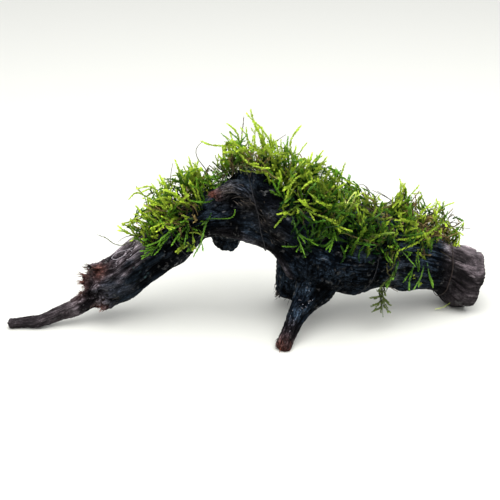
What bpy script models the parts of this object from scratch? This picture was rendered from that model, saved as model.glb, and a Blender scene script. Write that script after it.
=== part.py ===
"""Java moss tied to a branched piece of driftwood.

Metres, +Z up. The wood rests on z = 0 on the tip of its left spur, on its front leg and on
its sawn right end. The origin is on that plane, under the middle of the object's box.
"""
import math

import bmesh
import bpy
import numpy as np
from mathutils import Matrix, Vector, noise

MM = 0.001

# Driving sizes, in millimetres
GAP = 0.3                # clear space between pieces that touch
WOOD_VOXEL = 1.4         # grain of the fused wood before it is thinned out
WOOD_TRIANGLES = 3300
SPLINTER_TIP = 0.7       # radius left at a splinter's point
HULL_SIDES = 12          # points round the thread's reach at each place on the wood
MOSS_VOXEL = 2.4
MOSS_TRIANGLES = 250     # body of one clump, before its tufts
TUFT_TIP = 0.24          # width left at a tuft's tip, as a share of its foot's
TUFT_LEAN = 4            # how much a face that looks along the tuft is preferred, as distance
BARK_DEPTH = 0.11        # ridge height, as a share of the limb's radius
THREAD_WIDTH = 0.7
THREAD_STEP = 3.2
THREAD_SLACK = 0.25      # clear of the wood's small bumps
LIMB_REACH = 45          # farthest that a limb's skin lies from its middle

# Limbs, as rows of x, y, z, half height and half depth in millimetres
LEFT_SPUR = [
    (-125.5, -5, 2.2, 2.6, 2.8),
    (-118, -4.5, 2.7, 2.9, 3.1),
    (-110, -4, 3.4, 3.3, 3.5),
    (-103, -3, 6.0, 3.4, 3.6),
    (-96.5, -1.5, 8.0, 3.5, 3.9),
    (-90, 0, 10.1, 3.8, 4.4),
    (-84, 1.8, 13, 5.2, 5.6),
    (-78, 3.5, 15.8, 6.6, 7.0),
    (-72, 5, 18, 8.0, 8.0),
]
LEFT_LIMB = [
    (-83, 4, 21.5, 7.8, 8.5),
    (-77, 4, 21.4, 10.8, 10.5),
    (-70, 4, 23, 12.2, 11.8),
    (-61.8, 5, 28.8, 10.9, 12),
    (-53.3, 5, 35.6, 11.6, 11.4),
    (-42.8, 6, 42, 11.8, 11.6),
    (-36, 6, 49.5, 10.4, 11.6),
    (-29.5, 6, 55, 9.6, 11.6),
    (-19, 6, 59, 12, 13),
    (-9, 6, 61, 14, 14),
]
TRUNK = [
    (-27, 6, 55, 10, 11),
    (-19, 6, 59, 12, 13),
    (-8, 6, 60.5, 14, 14.5),
    (2.5, 5, 60.5, 15.6, 15.5),
    (12, 4, 57.5, 16.2, 15.5),
    (22, 3.5, 51.5, 17.5, 16),
    (31, 3, 44.5, 19.4, 16.5),
    (40, 3.5, 39.8, 20.4, 17),
    (49, 5, 37.8, 20.4, 17),
    (58, 8, 36.6, 19.2, 16.5),
]
RIGHT_LIMB = [
    (36, 3, 41, 19, 16),
    (48, 5, 38, 20, 17),
    (58, 8, 36.6, 19.2, 16.5),
    (72, 12.5, 33.6, 17.4, 15),
    (84, 16.5, 29.6, 15.8, 14.2),
    (94, 19.8, 25, 14.8, 14.4),
    (103, 22, 21.4, 14, 14.8),
    (112, 23.5, 15.5, 16.4, 16.6),
    (118, 24.4, 14, 15.2, 15.8),
    (123, 25, 12.9, 13.8, 14.4),
]
DOME = [
    (-1, 6, 62, 13.5, 12),
    (-1.5, 6.5, 70, 12.6, 11.5),
    (-1, 7.5, 76, 10.6, 10),
    (-0.5, 8.5, 80, 7.5, 7.5),
]
FRONT_LEG = [
    (36, 2, 34, 15, 14),
    (34, 0, 29.8, 13, 12),
    (31, -4, 23, 10.6, 9.5),
    (26.7, -9, 18, 7.0, 7.0),
    (23.2, -14, 14.2, 5.3, 5.6),
    (20, -19, 10.2, 4.5, 4.6),
    (17.3, -23.5, 6.2, 4.0, 4.0),
    (15.2, -26.7, 2.4, 3.6, 3.6),
    (14.2, -28.2, 0.4, 3.0, 3.0),
]
BACK_ROOT = [
    (26, 12, 46, 9.5, 10),
    (24, 17, 36, 8.6, 9.5),
    (22, 21, 26, 8.2, 9),
    (20.5, 23.5, 16.5, 7.6, 8.5),
    (19.5, 24.5, 9.5, 6.8, 7.5),
    (18.5, 25, 4.4, 4.6, 5),
]
BACK_KNOB = [
    (-8, 11, 54, 9, 9),
    (-13.4, 17, 45, 7.4, 6.4),
    (-15, 19.5, 39.4, 7.4, 6.2),
    (-15.2, 21, 36.4, 5.8, 5.2),
]
LEDGE = [
    (-18, -8, 73.5, 2.6, 2.4),
    (-14, -5, 74.5, 3.2, 3.0),
    (-9, -5, 76.5, 3.4, 3.4),
    (-3, -6.5, 75, 3.6, 3.6),
    (2, -8.5, 70.5, 3.4, 3.2),
    (6, -9.5, 65, 3.2, 3.0),
    (11, -10.5, 57.5, 2.6, 2.6),
    (16, -11, 50, 2.0, 2.0),
]
ARCH_LIP = [
    (-27, 0, 53, 2.6, 3),
    (-20, -3, 55, 3.2, 3.5),
    (-12, -5, 54.5, 3.4, 3.5),
    (-4, -6, 53, 3.4, 3.5),
    (4, -7, 50.5, 3.4, 3.5),
    (11, -8, 46.5, 3.4, 3.5),
    (16.5, -9, 39, 3.0, 3.2),
    (20.5, -9, 30, 2.4, 2.6),
]
LEFT_LUMP = [
    (-68, 2, 21, 6, 6),
    (-73, -1, 15.5, 4.2, 4.2),
    (-76, -4, 12.5, 3.0, 3.2),
]
TRUNK_KNUCKLE = [
    (30, -4, 40, 10, 11),
    (38, -6.5, 36, 12, 10),
    (47, -5, 31, 9.5, 8),
]
LIMBS = [LEFT_SPUR, LEFT_LIMB, TRUNK, RIGHT_LIMB, DOME, FRONT_LEG, BACK_ROOT, BACK_KNOB,
         LEDGE, ARCH_LIP, LEFT_LUMP, TRUNK_KNUCKLE]

# Splinters, as foot, tip and foot radius
SPLINTERS = [
    ((-78, 4, 25), (-90.5, 4, 25.8), 2.8),
    ((-78, 2, 22.5), (-90, 1, 22.5), 2.6),
    ((-78, 6, 28), (-87, 8, 30.5), 3.0),
    ((-77, 0, 20), (-89, -3, 18.6), 2.8),
    ((-78, 6, 20), (-89.5, 8, 20.5), 2.8),
    ((-77, 9, 24), (-87.5, 13, 25.5), 2.8),
    ((-75, -3, 23), (-85.5, -8, 21.5), 2.8),
    ((-74, 1, 30), (-84, -1, 33.5), 3.0),
    ((22, 23, 14), (12, 25, 7.5), 2.8),
    ((21, 24, 9), (17, 28.5, 2.5), 2.8),
    ((20, 22, 9), (21, 20, 2), 2.8),
    ((-71, -1, 15), (-78, -7.5, 9.5), 2.4),
]

# Hollows cut from the wood, as middle, half sizes and tilt about Y in degrees
HOLLOWS = [
    ((-5, -13, 64), (13, 6.5, 7.5), 14),
    ((30, 18.5, 50), (9, 5, 5), 30),
    ((-58, 17, 33), (12, 4, 4.5), -40),
    ((85, 33, 34), (12, 4.5, 5), 20),
    ((33.5, -18.5, 37), (3.4, 3, 2.6), 20),
]

# Sawn face of the right end: a point on it, and the way it faces
SAWN_POINT = (117.5, 24.5, 15)
SAWN_FACING = (0.94, 0.12, -0.28)

# Forks, in the order they are parted: a point, the way the branch leaves, half width, length
FORKS = {
    "driftwood_left_spur": ((-86.8, 1.5, 11.5), (-0.93, -0.2, -0.3), 8.0, 50),
    "driftwood_left_limb": ((-24, 6, 57), (-0.88, 0, -0.46), 34, 110),
    "driftwood_front_leg": ((29.5, -6, 21), (-0.36, -0.52, -0.62), 15, 40),
    "driftwood_back_root": ((26, 19.2, 27), (-0.4, 0.42, -0.84), 13, 40),
    "driftwood_back_knob": ((-10.5, 14.5, 48.5), (-0.2, 0.5, -0.84), 11, 20),
    "driftwood_right_limb": ((57, 8, 37.6), (0.93, 0.36, -0.1), 40, 100),
}

# Moss clumps: body rows as for limbs, the tips that the longest tufts reach, and the routes
# of sprigs that hang clear of the wood
MOSS = {
    "moss_left": {
        "body": [
            (-57, 4, 45, 5, 8),
            (-50, 4, 51, 9, 12),
            (-41, 4, 59, 12, 14),
            (-32, 5, 66, 13.5, 15),
            (-25, 6, 71.5, 12, 14),
            (-20, 7, 75, 8, 10),
        ],
        "tips": [
            (-65, 0, 55), (-60, 6, 67), (-55, 2, 74), (-55, -4, 66), (-58, -5, 60),
            (-38, 9, 85), (-36, 3, 88), (-30, 7, 88), (-26, 12, 84), (-53, -10, 45),
            (-50, 11, 76), (-43, 4, 82), (-28, -11, 44), (-44, 28, 69), (-34, 30, 75),
            (-52, 26, 58), (-40, 27, 50), (-29, 28, 59),
        ],
        "sprigs": [],
    },
    "moss_crown": {
        "body": [
            (-14, 10, 81, 6, 8),
            (-8, 11, 85, 9.5, 11.5),
            (0, 11.5, 87, 11.5, 13.5),
            (8, 11, 86, 12.5, 14),
            (15, 10, 81, 13, 14),
            (22, 9, 75, 12, 13),
        ],
        "tips": [
            (0, 8, 111), (2, 3, 107), (-3, 13, 107), (-11, 8, 105), (-23, 6, 97),
            (24, 10, 103), (18, 15, 97), (-6, -5, 95), (-17, 12, 98), (10, 10, 103),
            (6, 6, 108), (9, -6, 87), (-10, 31, 93), (3, 34, 95), (14, 33, 88),
            (-16, 28, 82), (6, 34, 79),
        ],
        "sprigs": [],
    },
    "moss_right": {
        "body": [
            (12, 1, 69, 8, 12),
            (20, 1, 68, 13, 16),
            (30, 2, 66, 15.5, 18),
            (38, 2, 62, 17, 20),
            (48, 3, 56, 16, 19.5),
            (60, 6.5, 49.5, 14.5, 18.5),
            (72, 12.5, 44.5, 14.8, 17.5),
            (84, 18, 38.5, 13.5, 16),
            (94, 22, 35, 10.5, 13.5),
            (102, 25.5, 34, 6.8, 9.5),
        ],
        "tips": [
            (27, 8, 95), (35, 12, 89), (37, 3, 89), (47, 10, 84), (46, -17, 74),
            (48, -20, 60), (27, -18, 46), (32, -19, 53), (16, -14, 50), (76, 18, 73),
            (79, 25, 67), (86, 22, 68), (98, 26, 57), (105, 28, 56), (100, 13, 51),
            (110, 27, 44), (94, 6, 18), (81, 0, 19), (61, 10, 65),
            (24, -3, 90), (17, -13, 66), (59, -10, 39), (40, 31, 72), (55, 33, 53),
            (70, 38, 51), (84, 40, 50), (30, 30, 78), (48, 36, 49), (76, 40, 39),
        ],
        "sprigs": [((70, -8, 32), (68, -9.5, 20), (67, -9, 7))],
    },
}
# Planes between neighbouring clumps: a point and the way the second clump lies
MOSS_PARTINGS = [
    ("moss_left", "moss_crown", (-19.5, 7, 80), (0.85, 0.0, 0.5)),
    ("moss_crown", "moss_right", (18, 6, 80), (0.72, -0.1, -0.68)),
]

# Thread ties: a point inside the wood, and the way the loop's plane faces
THREADS = {
    "thread_left": ((-37, 6, 48), (0.84, -0.1, 0.54)),
    "thread_trunk": ((1.5, 5, 60), (0.975, 0.1, 0.2)),
    "thread_mid": ((55, 7, 38), (0.9, 0.36, -0.24)),
    "thread_right": ((99, 21.2, 22), (0.96, 0.22, -0.16)),
}


def clear_scene():
    for obj in list(bpy.data.objects):
        bpy.data.objects.remove(obj, do_unlink=True)


def material(name, colour, roughness):
    mat = bpy.data.materials.new(name)
    mat.use_nodes = True
    shader = mat.node_tree.nodes["Principled BSDF"]
    shader.inputs["Base Color"].default_value = (*colour, 1.0)
    shader.inputs["Roughness"].default_value = roughness
    shader.inputs["Metallic"].default_value = 0.0
    return mat


def add_object(name, bm):
    """A new object from a bmesh in millimetres."""
    bmesh.ops.recalc_face_normals(bm, faces=bm.faces)
    bmesh.ops.scale(bm, vec=(MM, MM, MM), verts=bm.verts)
    mesh = bpy.data.meshes.new(name)
    bm.to_mesh(mesh)
    bm.free()
    obj = bpy.data.objects.new(name, mesh)
    bpy.context.scene.collection.objects.link(obj)
    return obj


def copy_of(obj, name):
    twin = obj.copy()
    twin.data = obj.data.copy()
    twin.name = name
    bpy.context.scene.collection.objects.link(twin)
    return twin


def bake(obj):
    """Turn an object's modifiers into its mesh."""
    graph = bpy.context.evaluated_depsgraph_get()
    mesh = bpy.data.meshes.new_from_object(obj.evaluated_get(graph))
    obj.modifiers.clear()
    obj.data = mesh


def combine(obj, other, operation):
    """Boolean of an object with another one, which is used up."""
    modifier = obj.modifiers.new(operation.title(), "BOOLEAN")
    modifier.operation = operation
    modifier.solver = "EXACT"
    modifier.object = other
    bake(obj)
    bpy.data.objects.remove(other, do_unlink=True)


def keep_largest(obj):
    """Drop every loose scrap but the largest body."""
    bm = bmesh.new()
    bm.from_mesh(obj.data)
    unseen = set(bm.verts)
    bodies = []
    while unseen:
        stack = [unseen.pop()]
        body = []
        while stack:
            vert = stack.pop()
            body.append(vert)
            for edge in vert.link_edges:
                other = edge.other_vert(vert)
                if other in unseen:
                    unseen.remove(other)
                    stack.append(other)
        bodies.append(body)
    bodies.sort(key=len)
    for body in bodies[:-1]:
        bmesh.ops.delete(bm, geom=body, context="VERTS")
    bm.to_mesh(obj.data)
    bm.free()


def tidy_mesh(obj, smallest):
    """Triangles only, with no edge shorter than the given millimetres."""
    bm = bmesh.new()
    bm.from_mesh(obj.data)
    bmesh.ops.triangulate(bm, faces=bm.faces)
    bmesh.ops.remove_doubles(bm, verts=bm.verts, dist=smallest * MM)
    bmesh.ops.dissolve_degenerate(bm, edges=bm.edges, dist=smallest * MM)
    bmesh.ops.triangulate(bm, faces=bm.faces)
    bmesh.ops.recalc_face_normals(bm, faces=bm.faces)
    bm.to_mesh(obj.data)
    bm.free()


def smooth_rows(rows, step):
    """Rows on a smooth curve through the given rows, about one step apart."""
    rows = np.array(rows, float)
    padded = np.vstack([2 * rows[0] - rows[1], rows, 2 * rows[-1] - rows[-2]])
    out = []
    for a, b, c, d in zip(padded, padded[1:], padded[2:], padded[3:]):
        count = max(1, round(float(np.linalg.norm((c - b)[:3])) / step))
        for i in range(count):
            t = i / count
            out.append(0.5 * (2 * b + (c - a) * t + (2 * a - 5 * b + 4 * c - d) * t ** 2
                              + (3 * b - a - 3 * c + d) * t ** 3))
    out.append(rows[-1])
    return np.array(out)


def bark(angle, along, seed):
    """Long ridges that wander round the limb, and lumps, as a share of its radius."""
    twist = along * 0.012
    ridges = math.sin(7 * (angle + twist) + seed) + 0.6 * math.sin(11 * (angle - twist) + 2 * seed)
    spot = Vector((math.cos(angle) * 1.3 + seed, math.sin(angle) * 1.3, along * 0.055))
    fade = 0.5 + 0.8 * noise.noise(spot * 1.7)
    return BARK_DEPTH * (0.8 * ridges * fade + 1.3 * noise.noise(spot))


def moss_lumps(angle, along, seed):
    spot = Vector((math.cos(angle) * 1.6 + seed, math.sin(angle) * 1.6, along * 0.11))
    return 0.3 * noise.noise(spot)


def tube(bm, rows, relief, seed, sides=28, step=2.0):
    """A closed tube through rows of x, y, z, half height and half depth."""
    stations = smooth_rows(rows, step)
    points = [Vector(row[:3]) for row in stations]
    side = Vector((0, 1, 0))
    rings = []
    along = 0.0
    for i, row in enumerate(stations):
        before, after = points[max(i - 1, 0)], points[min(i + 1, len(points) - 1)]
        tangent = (after - before).normalized()
        side = (side - tangent * side.dot(tangent)).normalized()
        up = tangent.cross(side)
        if i:
            along += (points[i] - points[i - 1]).length
        ring = []
        for k in range(sides):
            angle = 2 * math.pi * k / sides
            grow = 1 + relief(angle, along, seed)
            offset = side * (math.cos(angle) * row[4]) + up * (math.sin(angle) * row[3])
            ring.append(bm.verts.new(points[i] + offset * grow))
        rings.append(ring)
    for ring, following in zip(rings, rings[1:]):
        for k in range(sides):
            bm.faces.new((ring[k], ring[k - 1], following[k - 1], following[k]))
    bm.faces.new(rings[0])
    bm.faces.new(reversed(rings[-1]))


def spike(bm, foot, tip, radius, sides=7):
    """A cone from a foot to a nearly sharp tip."""
    foot, tip = Vector(foot), Vector(tip)
    turn = (tip - foot).to_track_quat("Z", "Y").to_matrix().to_4x4()
    place = Matrix.Translation((foot + tip) / 2) @ turn
    bmesh.ops.create_cone(bm, cap_ends=True, segments=sides, radius1=radius,
                          radius2=SPLINTER_TIP, depth=(tip - foot).length, matrix=place)


def fuse(obj, voxel, passes, triangles):
    """Fuse overlapping closed shapes into one skin and thin it out."""
    remesh = obj.modifiers.new("Fuse", "REMESH")
    remesh.mode = "VOXEL"
    remesh.voxel_size = voxel * MM
    soften = obj.modifiers.new("Soften", "SMOOTH")
    soften.factor = 0.5
    soften.iterations = passes
    bake(obj)
    thin = obj.modifiers.new("Thin", "DECIMATE")
    thin.ratio = triangles / (2 * len(obj.data.polygons))
    bake(obj)
    keep_largest(obj)


def box_beyond(point, facing, half_width, length, shift=0.0):
    """A box that starts at a plane and runs the way the plane faces."""
    point, facing = Vector(point), Vector(facing).normalized()
    turn = facing.to_track_quat("Z", "Y").to_matrix().to_4x4()
    size = Matrix.Diagonal((2 * half_width, 2 * half_width, length, 1))
    middle = point + facing * (length / 2 + shift)
    bm = bmesh.new()
    bmesh.ops.create_cube(bm, size=1, matrix=Matrix.Translation(middle) @ turn @ size)
    return add_object("box", bm)


def make_wood():
    """The whole driftwood in one skin, before it is parted at its forks."""
    bm = bmesh.new()
    for seed, rows in enumerate(LIMBS):
        tube(bm, rows, bark, seed * 2.3)
    for foot, tip, radius in SPLINTERS:
        spike(bm, foot, tip, radius)
    wood = add_object("wood", bm)
    fuse(wood, WOOD_VOXEL, 1, WOOD_TRIANGLES)
    for middle, half, tilt in HOLLOWS:
        bm = bmesh.new()
        turn = Matrix.Rotation(math.radians(tilt), 4, "Y")
        place = Matrix.Translation(middle) @ turn @ Matrix.Diagonal((*half, 1))
        bmesh.ops.create_icosphere(bm, subdivisions=2, radius=1, matrix=place)
        combine(wood, add_object("hollow", bm), "DIFFERENCE")
    combine(wood, box_beyond(SAWN_POINT, SAWN_FACING, 40, 40), "DIFFERENCE")
    combine(wood, box_beyond((0, 0, 0), (0, 0, -1), 200, 40), "DIFFERENCE")
    tidy_mesh(wood, 0.08)
    keep_largest(wood)
    return wood


def part_wood(wood):
    """One node for each branch, with a gap where it leaves the trunk."""
    nodes = {}
    trunk = copy_of(wood, "driftwood_trunk")
    for name, (point, facing, half_width, length) in FORKS.items():
        branch = copy_of(trunk, name)
        combine(branch, box_beyond(point, facing, half_width, length, GAP / 2), "INTERSECT")
        combine(trunk, box_beyond(point, facing, half_width, length, -GAP / 2), "DIFFERENCE")
        nodes[name] = branch
    nodes["driftwood_trunk"] = trunk
    for node in nodes.values():
        tidy_mesh(node, 0.03)
        keep_largest(node)
    return nodes


def section(wood, point, facing):
    """Points, in millimetres, where a plane near a limb's middle cuts the wood's skin."""
    bm = bmesh.new()
    bm.from_mesh(wood.data)
    bmesh.ops.scale(bm, vec=(1 / MM, 1 / MM, 1 / MM), verts=bm.verts)
    cut = bmesh.ops.bisect_plane(bm, geom=bm.verts[:] + bm.edges[:] + bm.faces[:],
                                 plane_co=point, plane_no=facing)
    places = [piece.co.copy() for piece in cut["geom_cut"] if isinstance(piece, bmesh.types.BMVert)]
    bm.free()
    return [place for place in places if (place - point).length < LIMB_REACH]


def loop_points(wood, point, facing):
    """A taut closed loop round the wood, in the plane at a point, in millimetres."""
    point, facing = Vector(point), Vector(facing).normalized()
    side = facing.cross(Vector((0, 0, 1))).normalized()
    up = side.cross(facing)
    reach = GAP + THREAD_WIDTH / 2 + THREAD_SLACK
    outline = []
    for shift in (-THREAD_WIDTH, 0, THREAD_WIDTH):
        for place in section(wood, point + facing * shift, facing):
            offset = place - point
            for k in range(HULL_SIDES):
                angle = 2 * math.pi * k / HULL_SIDES
                outline.append((offset.dot(side) + reach * math.cos(angle),
                                offset.dot(up) + reach * math.sin(angle)))
    ring = even_ring(convex_hull(outline), THREAD_STEP)
    return [point + side * x + up * y for x, y in ring]


def convex_hull(points):
    """Corner points of the smallest convex outline, anticlockwise."""
    points = sorted(set(points))
    chains = []
    for order in (points, points[::-1]):
        chain = []
        for p in order:
            while len(chain) > 1 and turn_of(chain[-2], chain[-1], p) <= 0:
                chain.pop()
            chain.append(p)
        chains.append(chain[:-1])
    return chains[0] + chains[1]


def turn_of(a, b, c):
    return (b[0] - a[0]) * (c[1] - a[1]) - (b[1] - a[1]) * (c[0] - a[0])


def even_ring(corners, step):
    """Points spaced evenly round a closed outline, about one step apart."""
    ring = np.array(corners + corners[:1])
    lengths = np.concatenate([[0], np.cumsum(np.linalg.norm(np.diff(ring, axis=0), axis=1))])
    spots = np.linspace(0, lengths[-1], round(lengths[-1] / step), endpoint=False)
    return list(zip(np.interp(spots, lengths, ring[:, 0]), np.interp(spots, lengths, ring[:, 1])))


def thread_tube(name, points, width):
    """A closed round thread through the points, in millimetres."""
    curve = bpy.data.curves.new(name, "CURVE")
    curve.dimensions = "3D"
    curve.bevel_depth = width / 2 * MM
    curve.bevel_resolution = 1
    spline = curve.splines.new("POLY")
    spline.points.add(len(points) - 1)
    for slot, p in zip(spline.points, points):
        slot.co = (*(p * MM), 1)
    spline.use_cyclic_u = True
    obj = bpy.data.objects.new(name, curve)
    bpy.context.scene.collection.objects.link(obj)
    graph = bpy.context.evaluated_depsgraph_get()
    mesh = bpy.data.meshes.new_from_object(obj.evaluated_get(graph))
    bpy.data.objects.remove(obj, do_unlink=True)
    solid = bpy.data.objects.new(name, mesh)
    bpy.context.scene.collection.objects.link(solid)
    tidy_mesh(solid, 0.01)
    return solid


def grow(obj, distance):
    """Move every point of a mesh out along its normal."""
    bm = bmesh.new()
    bm.from_mesh(obj.data)
    bm.normal_update()
    moved = [vert.co + vert.normal * (distance * MM * vert.calc_shell_factor()) for vert in bm.verts]
    for vert, place in zip(bm.verts, moved):
        vert.co = place
    bm.to_mesh(obj.data)
    bm.free()


def pull_tuft(bm, faces, route):
    """Draw one of a clump's own faces out along a route, thinner at each stop."""
    route = [Vector(place) * MM for place in route]

    def far(face):
        way = route[0] - face.calc_center_median()
        return way.length - TUFT_LEAN * MM * face.normal.dot(way.normalized())

    face = min(faces, key=far)
    faces.remove(face)
    start = face.calc_center_median()
    corners = [vert.co - start for vert in face.verts]
    stops = [start.lerp(route[0], 0.5), *route]
    for i, stop in enumerate(stops):
        width = 1 - (1 - TUFT_TIP) * (i + 1) / len(stops)
        face = bmesh.ops.extrude_discrete_faces(bm, faces=[face])["faces"][0]
        for vert, corner in zip(face.verts, corners):
            vert.co = stop + corner * width


def make_moss(name, rows, tips, sprigs, seed):
    bm = bmesh.new()
    tube(bm, rows, moss_lumps, seed, sides=20, step=2.5)
    clump = add_object(name, bm)
    fuse(clump, MOSS_VOXEL, 2, MOSS_TRIANGLES)
    bm = bmesh.new()
    bm.from_mesh(clump.data)
    bmesh.ops.triangulate(bm, faces=bm.faces)
    faces = bm.faces[:]
    for route in [*([tip] for tip in tips), *sprigs]:
        pull_tuft(bm, faces, route)
    bm.normal_update()
    bm.to_mesh(clump.data)
    bm.free()
    return clump


def cut_moss(clump, wood, threads):
    """Seat a clump on the wood and over the threads, with the gap all round."""
    bed = copy_of(wood, "bed")
    grow(bed, GAP)
    combine(clump, bed, "DIFFERENCE")
    for name, points in threads.items():
        combine(clump, thread_tube(name + "_channel", points, THREAD_WIDTH + 2 * GAP), "DIFFERENCE")
    keep_largest(clump)


def finish(obj, mat, sharp):
    obj.data.materials.clear()
    obj.data.materials.append(mat)
    obj.data.shade_smooth()
    obj.data.set_sharp_from_angle(angle=math.radians(sharp))


def centre(objects):
    """Put the middle of the whole box over the origin, with its lowest point at z = 0."""
    corners = np.array([vert.co for obj in objects for vert in obj.data.vertices])
    low, high = corners.min(axis=0), corners.max(axis=0)
    shift = Vector((-(low[0] + high[0]) / 2, -(low[1] + high[1]) / 2, -low[2]))
    for obj in objects:
        obj.data.transform(Matrix.Translation(shift))


def main():
    clear_scene()
    bark_mat = material("driftwood", (0.022, 0.016, 0.016), 0.45)
    moss_mat = material("moss", (0.16, 0.34, 0.03), 0.6)
    thread_mat = material("thread", (0.03, 0.025, 0.03), 0.8)

    wood = make_wood()
    routes = {name: loop_points(wood, *plane) for name, plane in THREADS.items()}

    clumps = {}
    for seed, (name, clump) in enumerate(MOSS.items()):
        clumps[name] = make_moss(name, clump["body"], clump["tips"], clump["sprigs"], seed * 3.1)
    for first, second, point, facing in MOSS_PARTINGS:
        back = tuple(-value for value in facing)
        combine(clumps[first], box_beyond(point, facing, 60, 80, -GAP / 2), "DIFFERENCE")
        combine(clumps[second], box_beyond(point, back, 60, 80, -GAP / 2), "DIFFERENCE")
    for clump in clumps.values():
        cut_moss(clump, wood, routes)
        tidy_mesh(clump, 0.01)
        keep_largest(clump)
        finish(clump, moss_mat, 70)

    pieces = part_wood(wood)
    bpy.data.objects.remove(wood, do_unlink=True)
    for piece in pieces.values():
        finish(piece, bark_mat, 50)

    ties = [thread_tube(name, points, THREAD_WIDTH) for name, points in routes.items()]
    for tie in ties:
        finish(tie, thread_mat, 70)

    centre([*pieces.values(), *clumps.values(), *ties])


main()
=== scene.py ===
import itertools
import math

import bpy
import numpy as np
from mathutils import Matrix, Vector
from mathutils.bvhtree import BVHTree


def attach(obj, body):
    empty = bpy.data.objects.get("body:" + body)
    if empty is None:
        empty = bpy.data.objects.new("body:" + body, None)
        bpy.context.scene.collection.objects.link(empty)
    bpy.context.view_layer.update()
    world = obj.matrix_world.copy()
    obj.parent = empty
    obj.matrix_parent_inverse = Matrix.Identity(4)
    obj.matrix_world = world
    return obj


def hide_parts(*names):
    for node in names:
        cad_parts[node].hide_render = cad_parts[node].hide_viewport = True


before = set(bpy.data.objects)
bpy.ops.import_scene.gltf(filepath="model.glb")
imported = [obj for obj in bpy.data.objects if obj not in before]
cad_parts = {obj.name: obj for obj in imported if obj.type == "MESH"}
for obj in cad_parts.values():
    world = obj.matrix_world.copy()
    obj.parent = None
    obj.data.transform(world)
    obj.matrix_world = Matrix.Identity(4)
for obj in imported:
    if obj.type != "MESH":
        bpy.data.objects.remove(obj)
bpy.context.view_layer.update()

# Camera
# It looks down on the front of the wood from half a metre, as a hand-held camera over a white
# table does. A long lens keeps the wood's proportions.
LENS = 72
SENSOR = 36
CAMERA_TILT = math.radians(24)
CAMERA_DISTANCE = 0.5025
CAMERA_TARGET = Vector((0.0002, -0.0054, 0.0414))

bpy.ops.object.select_all(action="DESELECT")
back_off = Vector((0, -math.cos(CAMERA_TILT), math.sin(CAMERA_TILT))) * CAMERA_DISTANCE
bpy.ops.object.camera_add(location=CAMERA_TARGET + back_off,
                          rotation=(math.pi / 2 - CAMERA_TILT, 0, 0))
camera = bpy.context.object
camera.data.lens = LENS
camera.data.sensor_width = SENSOR
camera.data.clip_start = 0.01
bpy.context.scene.camera = camera

# Driftwood
# A weathered root of dark bog wood, soaked until it is nearly black: a thin left spur, a left
# limb with a frayed end, an arching trunk with a dome, and a thick right limb that was sawn off.
# It is one piece of wood, so one skin covers all the branches and has no seam at the forks.
MM = 0.001
WOOD_NODES = [
    "driftwood_trunk", "driftwood_left_limb", "driftwood_left_spur", "driftwood_right_limb",
    "driftwood_front_leg", "driftwood_back_root", "driftwood_back_knob",
]
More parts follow.
